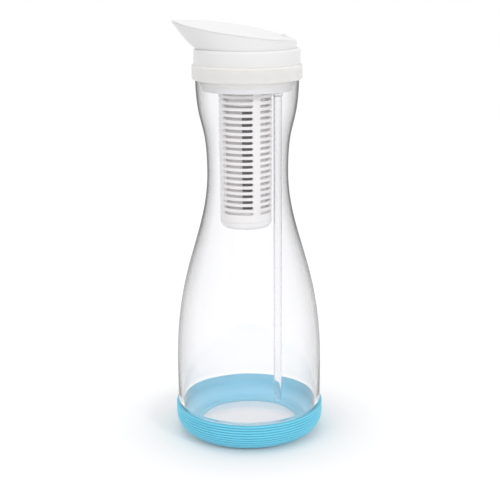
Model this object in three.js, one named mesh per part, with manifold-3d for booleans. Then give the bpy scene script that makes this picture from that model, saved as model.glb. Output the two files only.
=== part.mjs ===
// Water filter carafe: a clear hourglass bottle in a grooved silicone foot sleeve, closed by a white
// push-in lid with a beaked spout under a hinged flap. A slotted filter cage and an air tube hang
// from the lid. Millimetres, +Z up, spout towards -X, origin on the table at the bottle's axis.
import * as THREE from 'three';
import { mergeVertices } from 'three/addons/utils/BufferGeometryUtils.js';
import Module from 'manifold-3d';

const wasm = await Module();
wasm.setup();

// Clearances
const FIT_GAP = 0.3;            // between pieces that sit on or in each other
const PIN_GAP = 0.15;           // round the hinge pin
const CAP_GAP = 0.6;            // cap's plug and the element's foot in the cage
const ELEMENT_GAP = 2.4;        // filter element in the cage

// Bottle
const LIP_HEIGHT = 249;         // table to the top of the lip
const BASE_RADIUS = 48.4;       // outside, inside the foot sleeve
const BODY_RADIUS = 49;         // outside, above the foot sleeve
const SHOULDER_HEIGHT = 47.7;   // where the body starts to draw in
const NECK_RADIUS = 26.75;      // outside, at the waist of the neck
const NECK_HEIGHT = 181;
const MOUTH_RADIUS = 33.8;      // outside, at the lip
const GLASS_WALL = 2.2;
const GLASS_FLOOR = 4.5;
const HEEL_RADIUS = 11;         // outside corner between wall and floor
const INNER_HEEL_RADIUS = 10;
const PUNT_RADIUS = 32;         // hollow under the floor
const PUNT_DEPTH = 1.2;
const BODY_SWEEP = 69.8;        // how far the body's curve stays upright above the shoulder
const WAIST_SWEEP = 43.6;       // the same below the waist
const FLARE_SWEEP = 37;         // the same above the waist
const MOUTH_SWEEP = 41;         // the same below the lip

// Foot sleeve
const SLEEVE_HEIGHT = 20;
const SLEEVE_WALL = 1.7;
const SLEEVE_HOLE_RADIUS = 34;  // open middle of its floor
const SLEEVE_EDGE = 0.6;        // rounding of its top edge
const GROOVE_COUNT = 7;
const GROOVE_PITCH = 1.8;
const GROOVE_DROP = 1.9;        // sleeve's top edge to the first groove
const GROOVE_WIDTH = 0.7;
const GROOVE_DEPTH = 0.55;

// Mouth gasket
const COLLAR_HEIGHT = 9.6;
const COLLAR_WALL = 1.8;
const COLLAR_WEB = 1.3;         // thickness on top of the lip
const COLLAR_CHAMFER = 0.8;
const GASKET_WALL = 0.9;        // inner sleeve
const GASKET_DEPTH = 11.5;      // inner sleeve below the web
const FIN_COUNT = 2;
const FIN_HEIGHT = 0.5;
const FIN_PITCH = 4;
const FIN_THICKNESS = 1.2;

// Lid base
const RING_OVERHANG = 0.8;      // lid ring beyond the bottle's mouth
const RING_HEIGHT = 9.6;
const RING_WALL = 3.6;
const RING_FILLET = 1.3;
const RING_LEDGE = 2.5;         // floor of the ring
const LID_WALL = 2;
const SKIRT_DEPTH = 16.9;       // plug skirt below the ring
const WEB_RECESS = 5;           // web above the skirt's bottom edge
const WEB_THICKNESS = 2.5;

// Filter outlet
const SPIGOT_LENGTH = 10;
const SPIGOT_RADIUS = 7;
const SPIGOT_BORE_RADIUS = 4.4;
const SEAL_SECTION = 0.5;       // radius of the small O-rings' section
const SEAL_DROP = 6;            // web to the spigot's O-ring
const SCREEN_RADIUS = 7.6;
const SCREEN_THICKNESS = 0.8;
const SCREEN_HOLE_RADIUS = 1;
const SCREEN_HOLE_CIRCLE = 2.9;
const SCREEN_HOLES = 6;         // round the one in the middle

// Air tube and its valve
const TUBE_RADIUS = 2.65;
const TUBE_BORE_RADIUS = 1.9;
const TUBE_HEAD_RADIUS = 3.15;
const TUBE_HEAD_LENGTH = 9.2;
const TUBE_WALL_CLEARANCE = 2.1;   // tube to the neck's inside
const TUBE_FLOOR_CLEARANCE = 11.5; // tube's end to the bottle's floor
const NIPPLE_LENGTH = 8;
const NIPPLE_BORE_RADIUS = 0.8;
const RISER_RADIUS = 4.2;
const RISER_BORE_RADIUS = 2.5;
const RISER_LENGTH = 15.5;
const VALVE_FLANGE = 1.2;
const VALVE_WALL = 0.7;
const VALVE_BARREL = 3.5;
const VALVE_BILL = 3.2;
const VALVE_LIP = 0.45;         // half thickness of the bill's edge
const INLET_RADIUS = 1.5;

// Filter cage
const CAGE_WALL_CLEARANCE = 5.65;  // cage to the neck's inside, on the spout's side
const CAGE_LENGTH = 95.2;
const CAGE_DRAFT = 0.6;         // how much the radius loses from top to bottom
const CAGE_WALL = 1.6;
const CAGE_TOP_PLATE = 2.3;
const SLOT_ROWS = 21;
const SLOT_PITCH = 3.9;
const SLOT_HEIGHT = 2;
const SLOT_DROP = 6;            // cage's top to the middle of the first row
const SLOT_COLUMNS = 4;
const RIB_ANGLE = 15 * Math.PI / 180;
const RIB_TURN = -65.5 * Math.PI / 180; // first rib, from +X
const SLOT_STEPS = 3;           // facets along one slot
const NECK_WALL = 2;            // cage's neck round the spigot
const STOP_WALL = 1.6;          // ring over the element, round that neck
const CAP_HEIGHT = 4.7;
const CAP_CORNER = 3.6;
const CAP_FLOOR = 2;
const CAP_PLUG_HEIGHT = 5;
const CAP_PLUG_WALL = 1.5;

// Filter element
const END_CAP = 2.5;            // thickness of the element's end caps
const WRAP_THICKNESS = 0.6;
const WRAP_GAP_FROM = -100 * Math.PI / 180; // open strip in the fleece, from +X
const WRAP_GAP_TO = -56 * Math.PI / 180;
const CORE_RADIUS = 5.2;
const CORE_WALL = 1;
const CORE_ROWS = 4;
const CORE_SLOT_HEIGHT = 9;
const CORE_STEPS = 1;           // facets along one slot of the core
const CORE_RIB_ANGLE = 45 * Math.PI / 180;
const ELEMENT_NIPPLE_LENGTH = 4.7;
const NIPPLE_SEAL_RISE = 2.6;   // end cap to the nipple's O-ring

// Spout housing and flap
const BEAK_STEP = 2.6;          // housing stands back from the lid ring
const BEAK_REACH = 48.1;        // axis to the spout's tip
const BEAK_HEIGHT = 8.1;        // housing's seat to the seam, over the axis
const SEAM_SLOPE = 0.136;       // seam rises towards the tip
const TIP_LIFT = 1.95;          // extra rise at the tip
const TIP_POWER = 4;            // how late that rise sets in
const BEAK_POINT = 1.5;         // above 1, the spout's plan narrows to a point
const BEAK_BULGE = 0.8;         // below 1, the beak's underside swells outwards
const BEAK_WALL = 2;
const TIP_WALL = 3.6;           // wall at the tip, measured along X
const CROWN_HEIGHT = 5.8;       // top of the dome above the seam line
const CROWN_X = -14;
const CROWN_POWER = 2.2;
const FLAP_EDGE = 1.2;          // upright edge under the dome
const SEAM_RISE = 0.3;          // housing's share of that edge
const FLAP_WALL = 1.6;
const PLUG_LENGTH = 7;          // housing's plug in the lid ring
const PLUG_WALL = 2;
const PLUG_FLANGE = 2.2;        // floor of the housing round its plug
const PLUG_SEAL_SECTION = 0.8;
const PLUG_SEAL_RISE = 3.2;     // plug's bottom to its O-ring
const VENT_WALL = 1;
const VENT_ROOF = 1.6;
const VENT_CHAMBER = 4.5;       // height over the valve
const HINGE_SETBACK = 9;        // hinge in front of the housing's back
const HINGE_LIFT = 2.2;         // hinge axis above the seam line
const KNUCKLE_RADIUS = 1.4;
const KNUCKLE_LENGTH = 7;
const EAR_LENGTH = 2.5;
const SHELF_THICKNESS = 1.6;    // floor under the hinge
const SHELF_REACH = 3;          // that floor in front of the hinge axis
const FAIRING_LENGTH = 6;       // slope behind the ears
const FAIRING_ANGLE = 60 * Math.PI / 180; // where the slope leaves the knuckle's round
const PIN_RADIUS = 0.6;

// Facets
const ROUND_STEPS = 28;         // bottle and lid
const FILTER_STEPS = 24;        // filter pieces
const SMALL_STEPS = 12;         // pipes, pins and small seals
const SECTION_STEPS = 5;
const ARC_STEPS = 3;
const BODY_STEPS = 7;
const FLARE_STEPS = 5;
const SEAM_STEPS = 20;
const BEAK_ROWS = [0, 0.35, 0.7, 1];
const DOME_ROWS = [1, 0.82, 0.5, 0];

// Places worked out from the sizes above
const cutterReach = LIP_HEIGHT;  // takes a cutter right through any piece
const neckInner = NECK_RADIUS - GLASS_WALL;
const mouthInner = MOUTH_RADIUS - GLASS_WALL;
const glassBottom = SLEEVE_WALL + FIT_GAP;
const floorTop = glassBottom + GLASS_FLOOR;
const webUnderCollar = LIP_HEIGHT + FIT_GAP;
const collarTop = webUnderCollar + COLLAR_WEB;
const finRadius = mouthInner - 2 * FIT_GAP;
const gasketRadius = finRadius - FIN_HEIGHT;
const gasketBore = gasketRadius - GASKET_WALL;
const ringBottom = collarTop + FIT_GAP;
const ringTop = ringBottom + RING_HEIGHT;
const ringRadius = MOUTH_RADIUS + RING_OVERHANG;
const ringBore = ringRadius - RING_WALL;
const skirtRadius = gasketBore - FIT_GAP;
const skirtInner = skirtRadius - LID_WALL;
const skirtBottom = ringBottom - SKIRT_DEPTH;
const webBottom = skirtBottom + WEB_RECESS;
const webTop = webBottom + WEB_THICKNESS;
const tubeX = neckInner - TUBE_WALL_CLEARANCE - TUBE_RADIUS;
const cageRight = tubeX - TUBE_HEAD_RADIUS - FIT_GAP;
const cageLeft = CAGE_WALL_CLEARANCE - neckInner;
const cageRadius = (cageRight - cageLeft) / 2;
const cageX = (cageRight + cageLeft) / 2;
const cageTop = webBottom - FIT_GAP;
const capBottom = cageTop - CAGE_LENGTH;
const capTop = capBottom + CAP_HEIGHT;
const cageBottom = capTop + FIT_GAP;
const spigotBottom = webBottom - SPIGOT_LENGTH;
const outletBore = SPIGOT_RADIUS + FIT_GAP;
const outletSealRadius = outletBore - FIT_GAP / 2 - SEAL_SECTION;
const spigotSealHeight = webBottom - SEAL_DROP;
const capPlugRadius = cageRadiusAt(cageBottom) - CAGE_WALL - CAP_GAP;
const elementRadius = cageRadiusAt(cageBottom) - CAGE_WALL - ELEMENT_GAP;
const blockRadius = elementRadius - WRAP_THICKNESS - FIT_GAP;
const capPlugTop = capTop + CAP_PLUG_HEIGHT;
const elementBottom = capPlugTop + FIT_GAP;
const blockBottom = elementBottom + END_CAP + FIT_GAP;
const elementNippleTop = spigotBottom - FIT_GAP;
const elementTop = elementNippleTop - ELEMENT_NIPPLE_LENGTH;
const elementSealHeight = elementTop + NIPPLE_SEAL_RISE;
const blockTop = elementTop - END_CAP - FIT_GAP;
const riserTop = webTop + RISER_LENGTH;
const housingSeat = ringTop + FIT_GAP;
const plugRadius = ringBore - FIT_GAP;
const plugInner = plugRadius - PLUG_WALL;
const plugBottom = housingSeat - PLUG_LENGTH;
const flangeTop = housingSeat + PLUG_FLANGE;
const plugSealRadius = ringBore - FIT_GAP - PLUG_SEAL_SECTION;
const plugSealHeight = plugBottom + PLUG_SEAL_RISE;
const beakRadius = ringRadius - BEAK_STEP;
const footReach = ringRadius - RING_FILLET;
const hingeX = beakRadius - HINGE_SETBACK;
const hingeZ = seamHeight(hingeX) + HINGE_LIFT;
const pinBore = PIN_RADIUS + PIN_GAP;
const earStart = KNUCKLE_LENGTH / 2 + FIT_GAP;
const earEnd = earStart + EAR_LENGTH;

// Radius of the cage's outside, which narrows downwards
function cageRadiusAt(z) {
  return cageRadius - CAGE_DRAFT * (cageTop - z) / CAGE_LENGTH;
}

// Height of the line between the housing and the domed top
function seamHeight(x) {
  const tipShare = Math.max(0, -x / BEAK_REACH);
  return housingSeat + BEAK_HEIGHT - SEAM_SLOPE * x + TIP_LIFT * tipShare ** TIP_POWER;
}

// Turns a closed geometry into a solid whose faces point out
function solid(geometry) {
  const bare = geometry.index ? geometry.toNonIndexed() : geometry.clone();
  bare.deleteAttribute('normal');
  bare.deleteAttribute('uv');
  const merged = mergeVertices(bare);
  const place = merged.attributes.position;
  const corners = merged.index.array;
  const kept = [];
  let volume = 0;
  const [p, q, r] = [new THREE.Vector3(), new THREE.Vector3(), new THREE.Vector3()];
  for (let i = 0; i < corners.length; i += 3) {
    const [a, b, c] = corners.slice(i, i + 3);
    if (a === b || b === c || c === a) continue;
    kept.push([a, b, c]);
    p.fromBufferAttribute(place, a);
    q.fromBufferAttribute(place, b);
    r.fromBufferAttribute(place, c);
    volume += p.dot(q.cross(r));
  }
  const faces = volume < 0 ? kept.map(([a, b, c]) => [a, c, b]) : kept;
  const mesh = new wasm.Mesh({
    numProp: 3,
    vertProperties: Float32Array.from(place.array),
    triVerts: Uint32Array.from(faces.flat()),
  });
  return new wasm.Manifold(mesh);
}

function join(first, ...others) {
  return others.reduce((whole, other) => whole.add(other), first);
}

function cut(first, ...others) {
  return others.reduce((rest, other) => rest.subtract(other), first);
}

// Solid of revolution about Z, or about a line parallel to it through x and y
function revolve(outline, steps = ROUND_STEPS, x = 0, y = 0) {
  const points = [...outline, outline[0]].map(([radius, z]) => new THREE.Vector2(radius, z));
  const geometry = new THREE.LatheGeometry(points, steps);
  return solid(geometry.rotateX(Math.PI / 2).translate(x, y, 0));
}

function rod(radius, bottom, top, steps = SMALL_STEPS, x = 0, y = 0) {
  return revolve([[0, bottom], [radius, bottom], [radius, top], [0, top]], steps, x, y);
}

function pipe(outer, inner, bottom, top, steps = SMALL_STEPS, x = 0) {
  return revolve([[inner, bottom], [outer, bottom], [outer, top], [inner, top]], steps, x);
}

// Rod along Y through the hinge's axis
function hingeRod(radius, from, to) {
  const geometry = new THREE.CylinderGeometry(radius, radius, to - from, SMALL_STEPS);
  return solid(geometry.translate(hingeX, (from + to) / 2, hingeZ));
}

// Prism of an outline in X and Z, from one Y to another
function prism(shape, from, to) {
  const geometry = new THREE.ExtrudeGeometry(shape, {
    depth: to - from,
    bevelEnabled: false,
    curveSegments: ARC_STEPS,
  });
  return solid(geometry.rotateX(Math.PI / 2).translate(0, to, 0));
}

function block(low, high) {
  const size = high.map((value, axis) => value - low[axis]);
  const centre = high.map((value, axis) => (value + low[axis]) / 2);
  return solid(new THREE.BoxGeometry(...size).translate(...centre));
}

// Points of an arc round a centre, both ends included
function arc(centre, radius, from, to, steps = ARC_STEPS) {
  return Array.from({ length: steps + 1 }, (_, i) => {
    const angle = from + (to - from) * i / steps;
    return [centre[0] + radius * Math.cos(angle), centre[1] + radius * Math.sin(angle)];
  });
}

// Closed skin over rows of points with the same count in each
function skin(rows) {
  const count = rows[0].length;
  const index = [];
  for (let row = 0; row < rows.length - 1; row++) {
    for (let i = 0; i < count; i++) {
      const [a, b] = [row * count + i, row * count + (i + 1) % count];
      index.push(a, b, b + count, a, b + count, a + count);
    }
  }
  const geometry = new THREE.BufferGeometry().setFromPoints(rows.flat());
  geometry.setIndex(index);
  return solid(geometry);
}

// O-ring round a line parallel to Z
function oRing(radius, section, z, steps = ROUND_STEPS, x = 0) {
  const outline = arc([radius, z], section, 0, 2 * Math.PI, SECTION_STEPS).slice(0, -1);
  return revolve(outline, steps, x);
}

// Tube with rows of slots between upright ribs
function slottedTube({ bottom, top, radiusAt, wall, rows, slotHeight, ribAngle, steps, x }) {
  const levels = [bottom, ...rows.flatMap((z) => [z - slotHeight / 2, z + slotHeight / 2]), top];
  const pitch = 2 * Math.PI / SLOT_COLUMNS;
  const slotAngle = pitch - ribAngle;
  const columnAngles = Array.from({ length: steps + 1 }, (_, i) => (
    i === 0 ? -ribAngle / 2 : ribAngle / 2 + slotAngle * (i - 1) / steps
  ));
  const angles = Array.from({ length: SLOT_COLUMNS }, (_, column) => (
    columnAngles.map((angle) => RIB_TURN + column * pitch + angle)
  )).flat();
  const open = (a, band) => band % 2 === 1 && a % (steps + 1) !== 0;
  const point = (inner, a, level) => {
    const radius = radiusAt(levels[level]) - (inner ? wall : 0);
    const angle = angles[a % angles.length];
    return new THREE.Vector3(x + radius * Math.cos(angle), radius * Math.sin(angle), levels[level]);
  };
  const corners = [];
  const face = (a, b, c, d) => corners.push(a, b, c, a, c, d);
  const bands = levels.length - 1;
  for (let a = 0; a < angles.length; a++) {
    const before = (a + angles.length - 1) % angles.length;
    for (let band = 0; band < bands; band++) {
      if (open(a, band)) continue;
      const [b, up] = [a + 1, band + 1];
      face(point(0, a, band), point(0, b, band), point(0, b, up), point(0, a, up));
      face(point(1, a, band), point(1, a, up), point(1, b, up), point(1, b, band));
      if (up === bands || open(a, up)) {
        face(point(0, a, up), point(0, b, up), point(1, b, up), point(1, a, up));
      }
      if (band === 0 || open(a, band - 1)) {
        face(point(0, a, band), point(1, a, band), point(1, b, band), point(0, b, band));
      }
      if (open(b % angles.length, band)) {
        face(point(0, b, band), point(1, b, band), point(1, b, up), point(0, b, up));
      }
      if (open(before, band)) {
        face(point(0, a, band), point(0, a, up), point(1, a, up), point(1, a, band));
      }
    }
  }
  return solid(new THREE.BufferGeometry().setFromPoints(corners));
}

// Bottle
function bottle() {
  const bodyCurve = new THREE.CubicBezierCurve(
    new THREE.Vector2(BODY_RADIUS, SHOULDER_HEIGHT),
    new THREE.Vector2(BODY_RADIUS, SHOULDER_HEIGHT + BODY_SWEEP),
    new THREE.Vector2(NECK_RADIUS, NECK_HEIGHT - WAIST_SWEEP),
    new THREE.Vector2(NECK_RADIUS, NECK_HEIGHT),
  );
  const lipCentre = [MOUTH_RADIUS - GLASS_WALL / 2, LIP_HEIGHT - GLASS_WALL / 2];
  const flareCurve = new THREE.CubicBezierCurve(
    new THREE.Vector2(NECK_RADIUS, NECK_HEIGHT),
    new THREE.Vector2(NECK_RADIUS, NECK_HEIGHT + FLARE_SWEEP),
    new THREE.Vector2(MOUTH_RADIUS, lipCentre[1] - MOUTH_SWEEP),
    new THREE.Vector2(MOUTH_RADIUS, lipCentre[1]),
  );
  const sample = (curve, first, steps) => Array.from({ length: steps + 1 - first }, (_, i) => {
    const share = (i + first) / steps;
    return { at: curve.getPoint(share), along: curve.getTangent(share) };
  });
  const wall = [...sample(bodyCurve, 0, BODY_STEPS), ...sample(flareCurve, 1, FLARE_STEPS)];
  const outside = wall.map(({ at }) => [at.x, at.y]);
  const inside = wall.map(({ at, along }) => [at.x - GLASS_WALL * along.y, at.y + GLASS_WALL * along.x]);
  const heel = [BASE_RADIUS - HEEL_RADIUS, glassBottom + HEEL_RADIUS];
  const innerBase = BASE_RADIUS - GLASS_WALL;
  const innerHeel = [innerBase - INNER_HEEL_RADIUS, floorTop + INNER_HEEL_RADIUS];
  const sleeveTop = SLEEVE_HEIGHT + FIT_GAP;
  return revolve([
    [0, glassBottom + PUNT_DEPTH],
    [PUNT_RADIUS, glassBottom],
    ...arc(heel, HEEL_RADIUS, -Math.PI / 2, 0),
    [BASE_RADIUS, sleeveTop],
    [BODY_RADIUS, sleeveTop + GLASS_WALL],
    ...outside,
    ...arc(lipCentre, GLASS_WALL / 2, 0, Math.PI).slice(1, -1),
    ...inside.reverse(),
    ...arc(innerHeel, INNER_HEEL_RADIUS, 0, -Math.PI / 2),
    [0, floorTop + PUNT_DEPTH],
  ]);
}

// Foot sleeve: a cup with an open floor that follows the bottle's heel
function footSleeve() {
  const heel = [BASE_RADIUS - HEEL_RADIUS, glassBottom + HEEL_RADIUS];
  const innerRadius = HEEL_RADIUS + FIT_GAP;
  const outerRadius = innerRadius + SLEEVE_WALL;
  const outside = (z) => {
    const below = Math.max(0, heel[1] - z);
    return heel[0] + Math.sqrt(outerRadius ** 2 - below ** 2);
  };
  const lowestGroove = SLEEVE_HEIGHT - GROOVE_DROP - (GROOVE_COUNT - 1) * GROOVE_PITCH;
  const plainTop = Math.min(0, (lowestGroove - GROOVE_PITCH - heel[1]) / outerRadius);
  const grooves = Array.from({ length: GROOVE_COUNT }, (_, i) => {
    const z = lowestGroove + i * GROOVE_PITCH;
    const [low, high] = [z - GROOVE_WIDTH / 2, z + GROOVE_WIDTH / 2];
    return [[outside(low), low], [outside(z) - GROOVE_DEPTH, z], [outside(high), high]];
  }).flat();
  const rim = heel[0] + outerRadius;
  return revolve([
    [SLEEVE_HOLE_RADIUS, 0],
    ...arc(heel, outerRadius, -Math.PI / 2, Math.asin(plainTop)),
    ...grooves,
    [rim, SLEEVE_HEIGHT - SLEEVE_EDGE],
    [rim - SLEEVE_EDGE, SLEEVE_HEIGHT],
    [heel[0] + innerRadius, SLEEVE_HEIGHT],
    ...arc(heel, innerRadius, 0, -Math.PI / 2),
    [SLEEVE_HOLE_RADIUS, SLEEVE_WALL],
  ]);
}

// Gasket: a channel over the bottle's lip with sealing fins inside the mouth
function mouthGasket() {
  const bottom = collarTop - COLLAR_HEIGHT;
  const collarInner = MOUTH_RADIUS + FIT_GAP;
  const collarOuter = collarInner + COLLAR_WALL;
  const sleeveBottom = webUnderCollar - GASKET_DEPTH;
  const fins = Array.from({ length: FIN_COUNT }, (_, i) => {
    const z = sleeveBottom + FIN_THICKNESS + i * FIN_PITCH;
    return [[gasketRadius, z], [finRadius, z + FIN_THICKNESS / 2], [gasketRadius, z + FIN_THICKNESS]];
  }).flat();
  return revolve([
    [gasketBore, sleeveBottom],
    [gasketRadius, sleeveBottom],
    ...fins,
    [gasketRadius, webUnderCollar],
    [collarInner, webUnderCollar],
    [collarInner, bottom],
    [collarOuter - COLLAR_CHAMFER, bottom],
    [collarOuter, bottom + COLLAR_CHAMFER],
    [collarOuter, collarTop - COLLAR_CHAMFER / 2],
    [collarOuter - COLLAR_CHAMFER / 2, collarTop],
    [gasketBore, collarTop],
  ]);
}

// Groove for an O-ring, cut into the outside of a round neck
function sealGroove(radius, section, z, steps = ROUND_STEPS, x = 0) {
  const half = section + FIT_GAP / 2;
  return pipe(radius + section + FIT_GAP, radius - half, z - half, z + half, steps, x);
}

// Lid base: ring on the collar, plug skirt in the gasket, web with the filter's spigot and the air duct
function lidBase() {
  const ledgeTop = ringBottom + RING_LEDGE;
  const shell = revolve([
    [0, webBottom],
    [skirtInner, webBottom],
    [skirtInner, skirtBottom],
    [skirtRadius, skirtBottom],
    [skirtRadius, ringBottom],
    [ringRadius, ringBottom],
    ...arc([ringRadius - RING_FILLET, ringTop - RING_FILLET], RING_FILLET, 0, Math.PI / 2),
    [ringBore, ringTop],
    [ringBore, ledgeTop],
    [skirtInner, ledgeTop],
    [skirtInner, webTop],
    [0, webTop],
  ]);
  const middle = (webBottom + webTop) / 2;
  const spigot = rod(SPIGOT_RADIUS, spigotBottom, middle, SMALL_STEPS, cageX);
  const nippleRadius = TUBE_BORE_RADIUS - FIT_GAP;
  const nipple = rod(nippleRadius, webBottom - NIPPLE_LENGTH, middle, SMALL_STEPS, tubeX);
  const riser = rod(RISER_RADIUS, middle, riserTop, SMALL_STEPS, tubeX);
  const screenSeat = webTop - SCREEN_THICKNESS;
  return cut(
    join(shell, spigot, nipple, riser),
    rod(SPIGOT_BORE_RADIUS, spigotBottom - cutterReach, webTop, SMALL_STEPS, cageX),
    rod(SCREEN_RADIUS + FIT_GAP, screenSeat - FIT_GAP, webTop + FIT_GAP, SMALL_STEPS, cageX),
    sealGroove(outletSealRadius, SEAL_SECTION, spigotSealHeight, SMALL_STEPS, cageX),
    rod(RISER_BORE_RADIUS, webTop, riserTop + cutterReach, SMALL_STEPS, tubeX),
    rod(NIPPLE_BORE_RADIUS, webBottom - cutterReach, webTop + FIT_GAP, SMALL_STEPS, tubeX),
  );
}

// Screen over the filter's outlet, in a counterbore of the web
function outletScreen() {
  const bottom = webTop - SCREEN_THICKNESS;
  const disc = rod(SCREEN_RADIUS, bottom, webTop, SMALL_STEPS, cageX);
  const hole = (x, y) => (
    rod(SCREEN_HOLE_RADIUS, bottom - FIT_GAP, webTop + FIT_GAP, SECTION_STEPS, cageX + x, y)
  );
  const ring = Array.from({ length: SCREEN_HOLES }, (_, i) => {
    const angle = 2 * Math.PI * i / SCREEN_HOLES;
    return hole(SCREEN_HOLE_CIRCLE * Math.cos(angle), SCREEN_HOLE_CIRCLE * Math.sin(angle));
  });
  return cut(disc, hole(0, 0), ...ring);
}

// Air tube with a thicker head that slips over the lid's nipple
function airTube() {
  const headBottom = cageTop - TUBE_HEAD_LENGTH;
  const step = TUBE_HEAD_RADIUS - TUBE_RADIUS;
  return revolve([
    [TUBE_BORE_RADIUS, floorTop + TUBE_FLOOR_CLEARANCE],
    [TUBE_RADIUS, floorTop + TUBE_FLOOR_CLEARANCE],
    [TUBE_RADIUS, headBottom],
    [TUBE_HEAD_RADIUS, headBottom + step],
    [TUBE_HEAD_RADIUS, cageTop],
    [TUBE_BORE_RADIUS, cageTop],
  ], SMALL_STEPS, tubeX);
}

// Duckbill valve: a flange on the riser and a barrel that flattens into two lips
function ventValve() {
  const flangeBottom = riserTop + FIT_GAP;
  const flangeTop = flangeBottom + VALVE_FLANGE;
  const barrelRadius = RISER_BORE_RADIUS - FIT_GAP;
  const billTop = flangeBottom - VALVE_BARREL;
  const row = (z, halfLength, halfWidth) => Array.from({ length: SMALL_STEPS }, (_, i) => {
    const angle = 2 * Math.PI * i / SMALL_STEPS;
    return new THREE.Vector3(tubeX + halfWidth * Math.cos(angle), halfLength * Math.sin(angle), z);
  });
  const billBottom = billTop - VALVE_BILL;
  const body = skin([
    row(billBottom, 0, 0),
    row(billBottom, barrelRadius, VALVE_LIP),
    row(billTop, barrelRadius, barrelRadius),
    row(flangeBottom, barrelRadius, barrelRadius),
    row(flangeBottom, RISER_RADIUS, RISER_RADIUS),
    row(flangeTop, RISER_RADIUS, RISER_RADIUS),
    row(flangeTop, 0, 0),
  ]);
  return cut(body, rod(barrelRadius - VALVE_WALL, billTop, flangeTop + FIT_GAP, SMALL_STEPS, tubeX));
}

// Filter cage: slotted wall, top plate, the neck that takes the lid's spigot and the element's stop
function filterCage() {
  const rows = Array.from({ length: SLOT_ROWS }, (_, i) => (
    cageTop - SLOT_DROP - (SLOT_ROWS - 1 - i) * SLOT_PITCH
  ));
  const wall = slottedTube({
    bottom: cageBottom,
    top: cageTop,
    radiusAt: cageRadiusAt,
    wall: CAGE_WALL,
    rows,
    slotHeight: SLOT_HEIGHT,
    ribAngle: RIB_ANGLE,
    steps: SLOT_STEPS,
    x: cageX,
  });
  const plateRadius = cageRadius - CAGE_WALL / 2 + FIT_GAP;
  const plate = pipe(plateRadius, outletBore, cageTop - CAGE_TOP_PLATE, cageTop, FILTER_STEPS, cageX);
  const neck = pipe(outletBore + NECK_WALL, outletBore, elementTop + FIT_GAP, cageTop, SMALL_STEPS, cageX);
  const stopBottom = elementTop + FIT_GAP;
  const stop = pipe(elementRadius, elementRadius - STOP_WALL, stopBottom, cageTop, FILTER_STEPS, cageX);
  return join(wall, plate, neck, stop);
}

// Cap that closes the cage's bottom and carries the filter element
function cageCap() {
  const radius = cageRadiusAt(capTop);
  const inner = capPlugRadius - CAP_PLUG_WALL;
  return revolve([
    [0, capBottom],
    ...arc([radius - CAP_CORNER, capBottom + CAP_CORNER], CAP_CORNER, -Math.PI / 2, 0),
    [radius, capTop],
    [capPlugRadius, capTop],
    [capPlugRadius, capPlugTop],
    [inner, capPlugTop],
    [inner, capBottom + CAP_FLOOR],
    [0, capBottom + CAP_FLOOR],
  ], FILTER_STEPS, cageX);
}

function elementBottomCap() {
  return rod(capPlugRadius, elementBottom, elementBottom + END_CAP, FILTER_STEPS, cageX);
}

// Upper end cap with the outlet nipple that enters the cage's neck
function elementTopCap() {
  const nippleRadius = SPIGOT_RADIUS;
  const bore = CORE_RADIUS - CORE_WALL;
  const whole = revolve([
    [bore, elementTop - END_CAP],
    [elementRadius, elementTop - END_CAP],
    [elementRadius, elementTop],
    [nippleRadius, elementTop],
    [nippleRadius, elementNippleTop],
    [bore, elementNippleTop],
  ], FILTER_STEPS, cageX);
  return cut(whole, sealGroove(outletSealRadius, SEAL_SECTION, elementSealHeight, SMALL_STEPS, cageX));
}

function carbonBlock() {
  return pipe(blockRadius, CORE_RADIUS + FIT_GAP, blockBottom, blockTop, FILTER_STEPS, cageX);
}

// Fleece round the block, with a strip of the block left bare
function elementWrap() {
  const inner = elementRadius - WRAP_THICKNESS;
  const fleece = pipe(elementRadius, inner, blockBottom, blockTop, FILTER_STEPS, cageX);
  const edges = [WRAP_GAP_FROM, WRAP_GAP_TO].map((angle) => (
    new THREE.Vector2(Math.cos(angle), Math.sin(angle)).multiplyScalar(2 * elementRadius)
  ));
  const strip = new THREE.ExtrudeGeometry(new THREE.Shape([new THREE.Vector2(), ...edges]), {
    depth: elementTop - elementBottom,
    bevelEnabled: false,
  });
  return cut(fleece, solid(strip.translate(cageX, 0, elementBottom)));
}

// Slotted tube that keeps the carbon block's bore open
function coreTube() {
  const pitch = (blockTop - blockBottom) / CORE_ROWS;
  return slottedTube({
    bottom: blockBottom,
    top: blockTop,
    radiusAt: () => CORE_RADIUS,
    wall: CORE_WALL,
    rows: Array.from({ length: CORE_ROWS }, (_, i) => blockBottom + pitch * (i + 0.5)),
    slotHeight: CORE_SLOT_HEIGHT,
    ribAngle: CORE_RIB_ANGLE,
    steps: CORE_STEPS,
    x: cageX,
  });
}

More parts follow.
